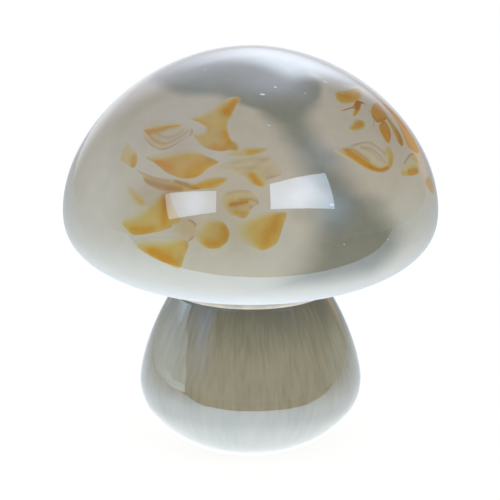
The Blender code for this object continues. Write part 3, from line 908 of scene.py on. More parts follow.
# How a chip is drawn out on the cap's wall, in millimetres east and north of its plate's middle, for a
# plate of a given length and turn. Each point of the outline has the fade of the amber there, and each
# point of a stroke its width
Stroke = namedtuple("Stroke", "strength path")
ChipLook = namedtuple("ChipLook", "length turn depth outline amber rose")
LOOKS = {
    "flame": ChipLook(
        18.0, 78.0, 0.68,
        ((3.4, 11.0, 0.4), (2.9, 8.6, 0.6), (2.9, 4.2, 0.7), (2.8, 0.6, 0.9), (4.0, -2.4, 0.9),
         (5.6, -4.6, 0.8), (7.5, -5.2, 1.0), (8.6, -7.8, 0.6), (5.0, -9.0, 0.4), (2.5, -9.6, 0.4),
         (-1.0, -9.4, 0.5), (-4.2, -8.2, 0.8), (-7.2, -5.8, 1.0), (-8.2, -4.4, 1.0), (-5.0, -4.8, 1.4),
         (-3.6, -3.4, 1.2), (-6.0, -2.0, 0.8), (-9.8, -1.3, 0.4), (-9.2, 0.3, 1.8), (-7.6, 2.8, 3.2),
         (-5.0, 6.0, 3.4), (-2.3, 8.8, 2.4), (0.2, 10.8, 1.0)),
        (Stroke(0.45, ((1.6, 8.8, 1.5), (0.6, 4.6, 2.0))),
         Stroke(0.34, ((-7.0, -1.4, 1.0), (-3.4, -2.2, 1.8))),
         Stroke(0.40, ((4.2, -8.2, 1.2), (1.0, -8.0, 1.2))),
         Stroke(0.34, ((3.0, -3.0, 1.8), (4.8, -5.0, 1.6)))),
        (Stroke(0.90, ((3.0, 10.6, 0.7), (2.2, 10.8, 0.5))),
         Stroke(0.45, ((5.2, -6.6, 1.2), (7.2, -7.2, 1.0))),
         Stroke(0.40, ((-3.0, -8.4, 0.4), (1.0, -9.0, 0.5), (4.6, -8.6, 0.5))),
         Stroke(0.30, ((-8.6, -1.5, 0.4), (-5.0, -2.3, 0.5)))),
    ),
    "shell": ChipLook(
        17.0, 8.0, 0.14,
        ((-12.2, -0.4, 2.4), (-9.6, -1.8, 1.6), (-7.0, -3.4, 0.5), (-2.8, -5.1, 0.5), (0.6, -5.5, 0.4),
         (2.6, -4.9, 0.4), (5.2, -2.6, 0.4), (7.0, -0.2, 0.4), (8.7, 1.8, 0.5), (7.8, 3.8, 0.6),
         (3.5, 5.1, 0.6), (-1.5, 5.1, 0.6), (-7.0, 4.4, 1.2), (-12.0, 3.2, 2.4), (-13.4, 1.0, 2.6)),
        (Stroke(0.95, ((-9.0, -0.4, 0.5), (-6.8, 0.0, 1.1), (-4.0, 1.2, 1.2), (-1.0, 2.8, 0.8),
                       (2.3, 4.0, 0.45))),
         Stroke(0.30, ((-6.0, -1.6, 1.6), (0.4, -3.4, 1.6)))),
        (Stroke(0.65, ((-7.6, -2.6, 0.3), (-5.4, -3.7, 0.4), (-1.4, -5.0, 0.45), (1.6, -4.8, 0.45),
                       (5.0, -2.2, 0.4), (7.8, 1.2, 0.4), (7.2, 3.4, 0.35))),
         Stroke(0.48, ((-7.6, -0.6, 0.35), (-3.0, -2.6, 0.4), (1.6, -2.6, 0.4), (5.0, 0.6, 0.35),
                       (6.2, 2.6, 0.35))),
         Stroke(0.42, ((-4.0, -0.2, 0.35), (0.4, -0.8, 0.4), (3.4, 0.8, 0.4), (4.6, 2.8, 0.35))),
         Stroke(0.25, ((-6.6, -1.0, 0.4), (-4.4, -0.2, 0.4), (-2.0, 1.2, 0.35), (2.4, 3.1, 0.3)))),
    ),
    "bud": ChipLook(
        8.0, 30.0, 0.48,
        ((-4.8, -3.5, 1.0), (-6.8, 0.4, 1.6), (-6.4, 3.4, 1.4), (-3.0, 3.0, 1.2), (1.0, 2.0, 0.9),
         (3.4, 0.2, 0.6), (4.0, -1.7, 0.6), (3.5, -3.4, 0.6), (0.2, -3.7, 0.8)),
        (Stroke(0.50, ((1.1, -0.2, 1.5), (2.5, -2.0, 1.4))),),
        (Stroke(0.28, ((3.0, -2.9, 0.9), (2.0, -3.0, 0.8))),),
    ),
    "oval": ChipLook(
        22.0, 4.0, 0.84,
        ((-14.2, 0.4, 0.5), (-10.4, -0.9, 0.4), (-7.6, -2.1, 0.4), (-4.6, -3.5, 0.4), (-2.0, -4.2, 0.4),
         (1.3, -4.7, 0.4), (4.4, -4.3, 0.5), (6.8, -3.0, 0.6), (8.3, -1.1, 0.7), (11.3, 1.7, 0.7),
         (7.2, 3.8, 1.0), (4.4, 4.8, 1.2), (1.5, 5.2, 1.6), (-2.0, 4.7, 2.2), (-6.4, 3.6, 2.6),
         (-10.6, 2.0, 2.0)),
        (Stroke(0.30, ((-8.6, -0.3, 1.4), (-4.0, -1.4, 1.8))),
         Stroke(0.16, ((3.0, -2.0, 2.4), (5.4, 0.6, 2.0)))),
        (Stroke(0.40, ((10.2, 1.7, 0.8), (7.6, 2.2, 1.3))),
         Stroke(0.25, ((-12.4, 0.2, 0.5), (-7.8, -1.7, 0.5))),
         Stroke(0.22, ((-5.0, -3.0, 0.5), (1.2, -4.2, 0.5), (6.0, -3.0, 0.5)))),
    ),
    "splinter": ChipLook(
        9.0, 0.0, 0.50,
        ((-8.0, -1.4, 1.2), (-3.4, 1.1, 1.2), (0.0, 2.0, 1.1), (3.4, 1.8, 0.9), (6.0, 1.0, 0.7),
         (2.8, -1.1, 0.9), (-1.2, -2.1, 1.0)),
        (Stroke(0.40, ((-0.4, 0.0, 1.0), (1.8, 0.2, 0.9))),),
        (Stroke(0.22, ((3.6, 0.4, 0.9), (2.8, 0.3, 0.8))),),
    ),
    "pebble": ChipLook(
        11.0, -5.0, 0.24,
        ((-11.5, 1.6, 1.8), (-7.5, 4.2, 1.8), (-2.0, 5.4, 2.0), (3.2, 4.8, 2.0), (6.0, 1.6, 1.6),
         (7.0, -2.3, 0.8), (3.0, -4.0, 0.6), (1.0, -5.6, 0.6), (-2.0, -4.6, 0.8), (-4.4, -2.2, 1.2),
         (-7.5, 0.0, 1.2)),
        (Stroke(0.80, ((-1.8, -1.4, 1.2), (-0.9, -3.2, 1.5), (0.0, -4.2, 1.2))),),
        (Stroke(0.25, ((2.4, -0.9, 1.8), (3.0, -1.8, 1.4))),
         Stroke(0.40, ((2.0, -2.8, 0.4), (5.8, -2.6, 0.4))),
         Stroke(0.24, ((-6.0, 1.2, 0.4), (-2.4, 1.0, 0.5), (0.6, 0.4, 0.4))),
         Stroke(0.22, ((-6.4, 3.0, 0.6), (-1.4, 3.6, 0.8), (3.0, 2.6, 0.7))),
         Stroke(0.20, ((-4.0, -0.4, 0.6), (1.0, 2.0, 0.6), (4.4, 3.4, 0.5)))),
    ),
    "ribbon": ChipLook(
        22.0, 3.0, 0.52,
        ((-21.5, 2.6, 0.8), (-16.6, 2.0, 0.8), (-11.0, 1.4, 0.9), (-5.7, 1.6, 0.9), (-2.6, 1.2, 0.8),
         (0.5, 1.0, 0.7), (3.2, 2.4, 0.7), (5.5, 3.2, 0.8), (9.4, 3.4, 0.8), (10.3, 2.3, 0.6),
         (8.7, 0.5, 0.5), (5.9, -0.9, 0.4), (2.3, -1.3, 0.4), (-1.3, -2.2, 0.5), (-5.2, -2.9, 0.6),
         (-10.6, -3.0, 0.7), (-15.6, -1.6, 0.7), (-18.4, 0.6, 0.8)),
        (Stroke(0.42, ((0.7, -0.2, 1.0), (5.0, 0.6, 1.3), (8.4, 2.1, 1.1))),),
        (Stroke(0.80, ((-16.4, -0.4, 0.8), (-12.4, -1.0, 1.3), (-7.6, -1.5, 1.3), (-3.8, -1.5, 0.8))),
         Stroke(0.85, ((-5.7, 0.7, 0.6), (-2.5, 0.1, 0.8), (-0.2, -0.8, 0.6), (2.0, -0.9, 0.4))),
         Stroke(0.45, ((-20.0, 2.2, 0.4), (-13.0, 1.0, 0.5), (-8.0, 0.6, 0.5)))),
    ),
    "wedge": ChipLook(
        5.2, 15.0, 0.46,
        ((-5.8, 1.4, 1.2), (-3.0, 1.2, 1.5), (0.6, 0.0, 1.5), (3.0, -1.8, 1.2), (1.8, -3.8, 1.2),
         (-1.2, -3.2, 1.4), (-3.8, -1.4, 1.4)),
        (Stroke(0.20, ((-0.6, -1.6, 1.0), (0.6, -2.2, 0.9))),),
        (Stroke(0.18, ((-3.6, 0.1, 0.8), (-2.0, -0.2, 0.8))),),
    ),
    "crescent": ChipLook(
        19.0, 19.0, 0.66,
        ((-11.6, -3.4, 0.8), (-8.8, -5.5, 0.5), (-6.0, -6.4, 0.4), (-3.0, -5.9, 0.4), (0.3, -4.9, 0.4),
         (3.7, -3.9, 0.4), (7.0, -2.4, 0.5), (10.5, -0.4, 0.5), (8.6, 2.0, 0.5), (6.4, 5.4, 0.6),
         (4.6, 8.8, 0.9), (1.6, 8.2, 1.6), (-2.0, 5.0, 2.6), (-6.0, 2.0, 3.2), (-10.0, -0.6, 2.2)),
        (Stroke(0.40, ((3.4, 5.0, 1.4), (4.2, 2.0, 1.8), (4.4, -0.8, 1.6))),
         Stroke(0.40, ((-6.8, -4.7, 1.4), (-3.2, -4.2, 1.7), (0.4, -3.5, 1.5)))),
        (Stroke(0.35, ((-6.4, -6.0, 0.4), (-4.0, -5.8, 0.4), (1.0, -4.5, 0.4))),
         Stroke(0.45, ((3.0, 7.2, 1.4), (4.0, 4.4, 1.2))),
         Stroke(0.35, ((6.6, -1.8, 0.7), (9.4, -0.4, 0.6)))),
    ),
    "ringlet": ChipLook(
        10.0, 5.0, 0.36,
        ((-5.6, 0.4, 1.2), (-4.3, 3.4, 1.0), (-0.3, 4.3, 0.8), (3.3, 3.6, 0.8), (5.4, 1.3, 0.6),
         (5.9, -1.0, 0.4), (4.1, -1.7, 0.4), (2.8, -3.6, 0.5), (1.3, -5.0, 0.5), (-1.2, -4.4, 0.8),
         (-3.8, -3.0, 1.2)),
        (Stroke(0.55, ((-2.4, -0.2, 0.9), (2.0, 0.2, 0.9))),
         Stroke(0.45, ((-1.1, -2.7, 1.0), (1.9, -3.4, 0.9)))),
        (Stroke(0.65, ((-2.6, -0.4, 0.3), (-0.4, -0.2, 0.7), (2.4, 0.2, 0.3))),
         Stroke(0.55, ((0.2, 1.0, 0.35), (3.4, 0.8, 0.35), (5.4, -0.4, 0.35), (5.0, -1.2, 0.4),
                       (3.1, -1.5, 0.4))),
         Stroke(0.42, ((0.2, -4.2, 0.7), (1.2, -4.2, 0.6))),
         Stroke(0.25, ((-2.0, -1.6, 2.2), (2.0, -2.0, 2.0))),
         Stroke(0.26, ((-3.3, 2.8, 0.4), (-0.2, 3.5, 0.4), (2.8, 3.2, 0.4)))),
    ),
    "round": ChipLook(
        8.6, -30.0, 0.64,
        ((2.7, 4.2, 0.8), (4.6, 2.4, 0.5), (5.3, 0.2, 0.4), (4.7, -2.2, 0.4), (2.8, -4.2, 0.4),
         (0.3, -4.9, 0.4), (-2.5, -4.6, 0.7), (-5.2, -3.0, 1.6), (-6.9, -0.2, 3.2), (-5.4, 3.0, 3.8),
         (-1.4, 5.0, 2.2)),
        (Stroke(0.40, ((-1.6, -3.0, 1.6), (1.8, -2.8, 1.8), (3.4, -0.6, 1.7), (3.2, 1.6, 1.4))),),
        (Stroke(0.30, ((1.0, -1.0, 3.2), (1.6, 1.2, 2.8))),
         Stroke(0.25, ((4.4, 0.6, 0.6), (3.8, -2.4, 0.6)))),
    ),
    "drop": ChipLook(
        13.5, 10.0, 0.70,
        ((7.1, 4.7, 0.6), (7.6, 3.2, 0.4), (6.2, 0.1, 0.4), (4.7, -3.4, 0.4), (3.3, -5.0, 0.4),
         (0.4, -6.2, 0.5), (-1.6, -6.1, 0.8), (-4.8, -4.9, 2.6), (-8.0, -2.6, 4.2), (-8.7, 0.7, 4.4),
         (-6.0, 3.7, 3.4), (-2.0, 5.0, 2.4), (2.0, 5.4, 1.6)),
        (Stroke(0.34, ((0.4, -3.6, 2.0), (2.4, -0.8, 2.6), (4.0, 1.6, 2.2))),),
        (Stroke(0.35, ((5.0, 3.7, 1.2), (6.4, 3.8, 1.0))),
         Stroke(0.26, ((1.0, -2.6, 3.0), (3.6, 1.0, 2.6)))),
    ),
    "fan": ChipLook(
        16.0, 10.0, 0.70,
        ((7.4, 4.0, 0.5), (7.8, 1.9, 0.5), (6.7, -1.2, 0.6), (5.4, -4.8, 0.5), (3.6, -6.2, 0.4),
         (0.0, -4.8, 0.4), (-3.2, -3.6, 0.4), (-5.8, -2.5, 0.4), (-8.6, -1.5, 0.6), (-12.0, 0.0, 1.4),
         (-10.4, 2.0, 2.4), (-6.0, 3.7, 3.0), (0.0, 4.6, 3.2), (4.2, 5.0, 2.0)),
        (Stroke(0.42, ((-4.6, -1.0, 1.8), (1.2, -2.0, 2.0))),
         Stroke(0.24, ((-1.0, -3.4, 1.4), (3.0, -4.2, 1.6)))),
        (Stroke(0.34, ((4.0, -3.0, 1.4), (5.0, -1.6, 1.4))),
         Stroke(0.32, ((6.7, 3.2, 0.6), (7.3, 1.2, 0.5)))),
    ),
    "petal": ChipLook(
        7.4, 25.0, 0.12,
        ((-3.8, 1.0, 1.0), (-0.8, 2.8, 0.8), (2.3, 3.0, 0.4), (4.6, 2.0, 0.4), (5.7, 0.0, 0.4),
         (5.1, -2.3, 0.4), (2.8, -4.3, 0.4), (-0.4, -3.2, 0.8), (-3.0, -1.4, 1.0)),
        (Stroke(0.22, ((3.6, 0.8, 1.2), (3.6, -1.2, 1.2))),),
        (Stroke(0.80, ((2.3, 2.6, 0.3), (4.1, 1.7, 0.4), (5.1, 0.0, 0.4), (4.6, -2.0, 0.4),
                       (2.7, -3.8, 0.3))),),
    ),
    "fleck": ChipLook(
        6.0, 40.0, 1.10,
        ((0.5, 2.0, 0.5), (3.1, 3.1, 0.5), (5.4, 3.1, 0.5), (6.2, 1.6, 0.4), (4.9, -0.8, 0.4),
         (2.2, -2.8, 0.4), (-0.4, -3.6, 0.5), (-1.0, -1.9, 0.6), (-0.6, 0.1, 0.6)),
        (Stroke(0.20, ((1.4, 0.4, 1.0), (2.8, 0.8, 1.0))),),
        (Stroke(0.55, ((4.0, 2.8, 0.4), (5.6, 1.9, 0.5), (4.6, -0.5, 0.5), (2.3, -2.3, 0.4))),),
    ),
}
RIGHT_LOOKS = {
    "tip": ChipLook(
        7.6, -15.0, 0.96,
        ((-1.8, 2.1, 0.7), (0.2, 2.4, 0.7), (3.6, 2.0, 0.8), (7.4, 1.6, 1.0), (12.0, 0.4, 1.0),
         (11.0, -2.0, 1.2), (6.8, -3.0, 1.0), (2.8, -3.2, 0.9), (-0.3, -3.2, 1.2), (-3.3, -2.4, 1.4),
         (-3.6, 0.2, 1.0)),
        (Stroke(0.22, ((0.4, 0.4, 1.0), (2.2, -0.5, 1.0))),),
        (Stroke(0.35, ((7.0, 1.5, 0.5), (10.0, 0.7, 0.7))),),
    ),
    "spur": ChipLook(
        6.2, 50.0, 1.10,
        ((3.0, 3.4, 0.4), (4.9, 2.7, 0.4), (6.3, 1.0, 0.3), (5.7, -1.2, 0.3), (4.6, -3.4, 0.3),
         (2.8, -6.0, 0.2), (0.0, -7.4, 0.2), (-0.2, -6.7, 0.2), (2.2, -5.2, 0.2), (3.8, -3.0, 0.3),
         (4.8, -1.0, 0.3), (5.2, 0.4, 0.3), (4.0, 0.6, 0.3), (0.9, -0.7, 0.5), (-2.6, -1.9, 0.6),
         (-4.8, -1.6, 0.6), (-2.8, 0.0, 0.5), (-1.4, 0.7, 0.3), (-5.2, 0.8, 0.3), (-10.0, 1.0, 0.2),
         (-5.2, 1.9, 0.3), (-0.6, 2.0, 0.3)),
        (Stroke(0.30, ((3.4, 2.2, 1.2), (1.6, 0.8, 1.0))),),
        (Stroke(0.95, ((3.6, 2.4, 1.1), (2.4, 1.6, 1.1), (0.0, 0.4, 0.8))),
         Stroke(0.80, ((-1.4, 1.2, 0.5), (-9.8, 1.3, 0.5))),
         Stroke(0.80, ((4.9, 1.8, 0.7), (5.9, 0.6, 0.6), (5.2, -1.1, 0.5), (4.2, -3.2, 0.5),
                       (2.5, -5.6, 0.5), (0.0, -7.0, 0.4)))),
    ),
    "dot": ChipLook(
        4.6, 0.0, 0.95,
        ((-1.0, 0.6, 1.2), (1.3, 2.2, 1.2), (3.7, 2.4, 1.0), (4.9, 1.1, 0.9), (3.8, -0.8, 0.9),
         (1.1, -2.2, 1.1), (-1.7, -2.6, 1.4), (-2.9, -1.0, 1.4)),
        (),
        (Stroke(0.30, ((1.0, 0.4, 2.0), (2.6, 0.6, 1.6))),),
    ),
    "curl": ChipLook(
        11.0, -15.0, 1.05,
        ((-3.0, 1.6, 0.5), (0.5, 2.4, 0.5), (3.6, 2.4, 0.6), (5.6, 1.0, 0.6), (4.8, -1.6, 0.5),
         (3.6, -3.2, 0.4), (0.4, -3.8, 0.4), (-2.7, -3.4, 0.4), (-5.8, -2.8, 0.5), (-5.4, -0.6, 0.5)),
        (),
        (Stroke(0.15, ((-2.0, -0.6, 2.0), (2.4, -0.6, 2.0))),
         Stroke(0.60, ((-4.4, 0.2, 0.6), (-4.9, -2.3, 0.6), (-2.6, -2.7, 0.6), (1.0, -3.2, 0.5)))),
    ),
    "splinter": ChipLook(
        7.2, 30.0, 0.95,
        ((3.4, 9.0, 0.4), (5.4, 8.6, 0.4), (3.9, 5.2, 0.5), (2.8, 1.8, 0.5), (2.8, -1.0, 0.4),
         (1.4, -3.6, 0.4), (-1.4, -4.6, 0.4), (-2.4, -3.0, 0.5), (-0.9, 0.4, 0.5), (1.1, 4.0, 0.5),
         (2.2, 7.0, 0.4)),
        (),
        (Stroke(0.85, ((-1.0, -3.6, 1.1), (0.4, -2.2, 1.0), (1.4, -0.2, 0.7))),
         Stroke(0.60, ((4.6, 8.0, 0.5), (3.2, 4.6, 0.5), (2.2, 0.8, 0.5)))),
    ),
    "ribbon": ChipLook(
        15.0, 110.0, 1.22,
        ((-1.0, 8.0, 0.5), (1.4, 5.0, 0.6), (2.8, 1.0, 0.7), (3.4, -3.0, 0.8), (3.2, -7.5, 0.8),
         (2.0, -11.5, 0.7), (-2.8, -13.2, 0.8), (-8.0, -11.0, 1.2), (-7.4, -7.2, 1.2), (-5.0, -3.2, 0.8),
         (-3.4, 0.8, 0.6), (-2.6, 4.2, 0.5), (-2.2, 6.5, 0.5)),
        (Stroke(0.40, ((-1.6, -9.5, 2.4), (0.0, -6.0, 1.8))),),
        (Stroke(1.10, ((-1.0, 7.0, 0.7), (0.4, 2.0, 0.8), (0.6, -3.0, 0.8))),
         Stroke(0.90, ((-2.0, 5.0, 0.5), (-3.0, 0.0, 0.5), (-5.4, -4.4, 0.6)))),
    ),
    "shell": ChipLook(
        15.8, -10.0, 0.14,
        ((-10.2, 3.2, 1.4), (-5.6, 3.9, 0.7), (-1.3, 4.5, 0.5), (3.5, 4.2, 0.5), (6.0, 2.4, 0.5),
         (7.6, 0.8, 0.5), (9.8, 1.4, 0.7), (12.0, 0.8, 0.7), (11.6, -2.2, 0.5), (9.0, -4.9, 0.4),
         (5.2, -6.2, 0.4), (1.2, -5.8, 0.5), (-1.8, -4.4, 0.6), (-4.6, -2.2, 0.8), (-8.4, 0.8, 1.4)),
        (Stroke(0.50, ((-8.4, 2.2, 1.4), (-6.0, 1.6, 1.4))),
         Stroke(1.20, ((-5.6, 2.0, 0.8), (-4.2, 0.4, 1.5), (-2.3, -1.7, 1.6), (0.1, -3.5, 1.1),
                       (3.1, -4.8, 0.65), (6.4, -4.7, 0.5))),
         Stroke(0.60, ((10.2, -0.6, 1.6), (9.8, -2.4, 1.8), (8.4, -4.0, 1.4)))),
        (Stroke(0.60, ((-6.6, 3.0, 0.5), (-3.6, 2.4, 0.5), (-1.7, 0.4, 0.5), (0.2, -1.6, 0.4))),
         Stroke(0.55, ((-3.4, 3.6, 0.4), (0.6, 4.0, 0.4), (3.6, 3.6, 0.4), (5.8, 1.8, 0.4),
                       (7.6, -0.8, 0.4))),
         Stroke(0.45, ((-0.6, 2.6, 0.4), (2.6, 1.8, 0.4), (5.0, -0.6, 0.4), (6.0, -3.0, 0.4))),
         Stroke(0.45, ((-0.6, -3.4, 0.5), (3.2, -5.2, 0.5), (6.6, -4.9, 0.5), (9.4, -2.6, 0.5))),
         Stroke(0.30, ((0.6, 2.2, 0.4), (3.0, 0.2, 0.4), (4.4, -2.2, 0.4)))),
    ),
    "ringlet": ChipLook(
        9.6, -12.0, 0.20,
        ((-6.9, -2.0, 0.6), (-3.2, 0.0, 0.5), (0.1, 1.0, 0.4), (4.0, 1.4, 0.4), (7.2, 0.9, 0.4),
         (8.3, -0.9, 0.4), (6.5, -3.7, 0.4), (3.2, -5.1, 0.4), (-2.4, -4.3, 0.5), (-6.9, -3.1, 0.6)),
        (Stroke(1.20, ((-1.2, -3.2, 1.1), (1.4, -3.6, 1.3), (3.6, -4.0, 1.2))),
         Stroke(0.45, ((-5.0, -2.6, 0.9), (-1.2, -3.2, 0.9))),
         Stroke(0.60, ((5.2, -0.6, 1.0), (6.6, -1.8, 1.0)))),
        (Stroke(0.85, ((-2.0, 0.2, 0.5), (1.0, 0.8, 0.5), (4.5, 0.9, 0.5), (7.2, 0.3, 0.5),
                       (7.7, -1.4, 0.5))),),
    ),
    "wedge": ChipLook(
        5.8, 60.0, 0.95,
        ((-1.2, 0.5, 0.7), (2.9, 1.2, 0.7), (5.7, -0.2, 0.7), (5.8, -2.4, 0.7), (3.8, -3.9, 0.8),
         (0.3, -2.6, 0.9)),
        (),
        (),
    ),
}
LOOKS["leaf"] = LOOKS["fleck"]

# Meshes of the chips, in millimetres. Shares are of the grid's step, and the spread is of a fade
GRID_STEP = 0.28
GRID_ROW_SHARE = 0.87
GRID_MARGIN_SHARE = 0.4
OUTLINE_STEP = 0.30
WELD = 0.000001
TINY = 1e-9
RIM_FALL = 0.8
FADE_SPREAD = 1.3
STROKE_SAMPLES = 6

# Chips that lie over their neighbours, and how far in metres
OVERLAP_LIFT = 0.00002
UPPER_CHIPS = ("splinter", "ribbon")

ChipPlate = namedtuple("ChipPlate", "bearing east north half_length turn")


def chip_plate(node):
    """Place, length and turn of a chip along the cap's wall, from its plate in the frame."""
    points = mesh_points(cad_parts[node].data)
    wall_radius, wall_height = wall(CAP, MERIDIAN, CHIP_PLATE_INSET)
    radius = np.hypot(points[:, 0], points[:, 1])
    gaps = np.hypot(radius[:, None] - wall_radius, points[:, 2:] - wall_height)
    on_top = gaps.min(axis=1) < CHIP_PLATE_REACH
    latitude = MERIDIAN[gaps.argmin(axis=1)][on_top]
    points = points[on_top]
    bearing = math.atan2(points[:, 0].mean(), -points[:, 1].mean())
    turn_off = (np.arctan2(points[:, 0], -points[:, 1]) - bearing + math.pi) % (2.0 * math.pi) - math.pi
    east = turn_off * wall(CAP, latitude, 0.0)[0]
    flat = np.stack([east, np.interp(latitude, MERIDIAN, NORTHS)], axis=-1)
    flat = np.unique(flat.round(CHIP_PLATE_DECIMALS), axis=0)
    centre = (flat.min(axis=0) + flat.max(axis=0)) / 2.0
    along = np.linalg.eigh(np.cov((flat - centre).T))[1][:, 1]
    along = along * np.sign(along[np.abs(along).argmax()])
    reach = (flat - centre) @ along
    centre = centre + along * (reach.max() + reach.min()) / 2.0
    half_length = (reach.max() - reach.min()) / 2.0
    return ChipPlate(bearing, centre[0], centre[1], half_length, math.atan2(along[1], along[0]))


def closed_curve(points):
    """A smooth closed curve through points, as close samples. The third value of each point goes along."""
    points = np.array(points)
    before, ahead, beyond = (np.roll(points, shift, axis=0) for shift in (1, -1, -2))
    samples = []
    for p0, p1, p2, p3 in zip(before, points, ahead, beyond):
        count = max(2, int(np.hypot(*(p2 - p1)[:2]) / OUTLINE_STEP))
        for share in np.arange(count) / count:
            bend = (2.0 * p0 - 5.0 * p1 + 4.0 * p2 - p3) * share ** 2
            bend = bend + (3.0 * (p1 - p2) + p3 - p0) * share ** 3
            samples.append(p1 + 0.5 * ((p2 - p0) * share + bend))
    samples = np.array(samples)
    samples[:, 2] = np.maximum(samples[:, 2], points[:, 2].min())
    return samples


def path_gaps(points, path):
    """Distance from each point to each piece of a path, and the path's third value at the nearest spot."""
    start, end = path[:-1], path[1:]
    way = (end - start)[:, :2]
    away = points[:, None, :] - start[None, :, :2]
    square = np.maximum((way * way).sum(axis=1), TINY)
    share = np.clip((away * way).sum(axis=2) / square, 0.0, 1.0)
    gap = np.linalg.norm(away - share[..., None] * way, axis=2)
    return gap, start[:, 2] + share * (end - start)[:, 2]


def smooth_path(path):
    """A smooth curve through the points of a stroke, as close samples."""
    steps = np.arange(len(path), dtype=float)
    fine = np.linspace(0.0, steps[-1], (len(path) - 1) * STROKE_SAMPLES + 1)
    return np.stack([smooth_through(fine, steps, column) for column in np.array(path).T], axis=-1)


def stroke_sum(points, strokes):
    """Strength of all strokes at each point."""
    total = np.zeros(len(points))
    for stroke in strokes:
        gap, width = path_gaps(points, smooth_path(stroke.path))
        total = total + stroke.strength * np.exp(-(gap / width) ** 2).max(axis=1)
    return total


def inside(points, outline):
    """Which points lie inside a closed outline."""
    x, y = points[:, :1], points[:, 1:]
    ahead = np.roll(outline, -1, axis=0)
    rise = ahead[:, 1] - outline[:, 1]
    crosses = (outline[:, 1] > y) != (ahead[:, 1] > y)
    safe_rise = np.where(np.abs(rise) < TINY, TINY, rise)
    cut = outline[:, 0] + (y - outline[:, 1]) * (ahead[:, 0] - outline[:, 0]) / safe_rise
    return (crosses & (x < cut)).sum(axis=1) % 2 == 1


def filled_outline(outline):
    """Flat points and triangles that fill a closed outline."""
    low, high = outline[:, :2].min(axis=0), outline[:, :2].max(axis=0)
    rows = np.arange(low[1], high[1], GRID_STEP * GRID_ROW_SHARE)
    grid = []
    for index, y in enumerate(rows):
        for x in np.arange(low[0] + GRID_STEP * 0.5 * (index % 2), high[0], GRID_STEP):
            grid.append((x, y))
    grid = np.array(grid)
    grid = grid[inside(grid, outline)]
    gap, _ = path_gaps(grid, np.vstack([outline, outline[:1]]))
    grid = grid[gap.min(axis=1) > GRID_STEP * GRID_MARGIN_SHARE]
    count = len(outline)
    corners = [Vector(point) for point in np.vstack([outline[:, :2], grid]).tolist()]
    edges = [(index, (index + 1) % count) for index in range(count)]
    points, _, faces, _, _, _ = delaunay_2d_cdt(corners, edges, [], 1, WELD)
    return np.array([tuple(point) for point in points]), [tuple(face) for face in faces]


def lens_faces(faces, count):
    """Faces of a closed lens from the triangles of its top: the back, and a wall along the open edges."""
    ways = {}
    for face in faces:
        for start, end in zip(face, face[1:] + face[:1]):
            ways[(start, end)] = True
    back = [tuple(corner + count for corner in face[::-1]) for face in faces]
    side = [(end, start, start + count, end + count) for start, end in ways if (end, start) not in ways]
    return faces + back + side


def amber_chip(node, look, material):
    """One chip: a thin lens that lies in the milky glass, its rim drawn down into it."""
    plate = chip_plate(node)
    outline = closed_curve(look.outline)
    flat, faces = filled_outline(outline)
    gap, fade = path_gaps(flat, np.vstack([outline, outline[:1]]))
    cover = smooth_step(0.0, 1.0, gap / (fade * FADE_SPREAD)).min(axis=1)
    amber = (look.depth + stroke_sum(flat, look.amber)) * cover
    rose = stroke_sum(flat, look.rose) * np.minimum(cover * ROSE_RIM_GAIN, 1.0)

    grow = 2.0 * plate.half_length / (look.length * MM)
    turn = plate.turn - math.radians(look.turn)
    east = plate.east + (flat[:, 0] * math.cos(turn) - flat[:, 1] * math.sin(turn)) * grow * MM
    north = plate.north + (flat[:, 0] * math.sin(turn) + flat[:, 1] * math.cos(turn)) * grow * MM
    fall = 1.0 - smooth_step(0.0, RIM_FALL, gap.min(axis=1))
    lift = OVERLAP_LIFT if node.endswith(UPPER_CHIPS) else 0.0
    inset = CHIP_CROWN_INSET + (CHIP_RIM_INSET - CHIP_CROWN_INSET) * fall - lift
    top = cap_place(plate.bearing, east, north, inset)
    back = cap_place(plate.bearing, east, north, CHIP_BACK_INSET)

    piece = mesh_piece(node, np.vstack([top, back]).tolist(), lens_faces(faces, len(flat)), material)
    for name, values in (("amber_depth", amber), ("rose_line", rose), ("warm_haze", warm_haze(top))):
        set_values(piece.data, name, np.tile(values, 2))
    return piece


def chip_look(node):
    cluster, name = node.split("_")[2:]
    if cluster == "right" and name in RIGHT_LOOKS:
        return RIGHT_LOOKS[name]
    return LOOKS[name]


# Air seeds caught in the cap's clear casing: where they lie, and their length in millimetres
Seed = namedtuple("Seed", "bearing north length")
SEEDS = (
    Seed(7.0, 51.6, 1.5), Seed(16.4, 54.6, 1.1), Seed(55.0, 53.5, 1.5), Seed(33.0, 50.6, 0.7),
    Seed(-45.0, 62.0, 0.8), Seed(-24.0, 47.5, 0.6), Seed(8.0, 39.4, 1.1), Seed(45.0, 0.5, 0.55),
    Seed(52.5, 11.3, 0.5), Seed(28.5, 1.5, 0.55), Seed(25.6, 13.3, 1.3),
)
SEED_INSET = 0.0013
SEED_SHAPE = (1.0, 0.50, 0.35)
# Painted glint of the air seeds, pale and grey
SEED_GLINT_PALE = (0.74, 0.75, 0.78, 1.0)
SEED_GLINT_GREY = (0.46, 0.47, 0.49, 1.0)
SEED_GLINT = Grain(900.0, 2.0, 0.5)
SEED_ROUGHNESS = 0.3
SEED_IOR = 1.3
SEED_RADIUS = 0.5
SEED_SUBDIVISIONS = 2
SEED_INPUTS = (("Geometry", "NodeSocketGeometry"), ("Material", "NodeSocketMaterial"))


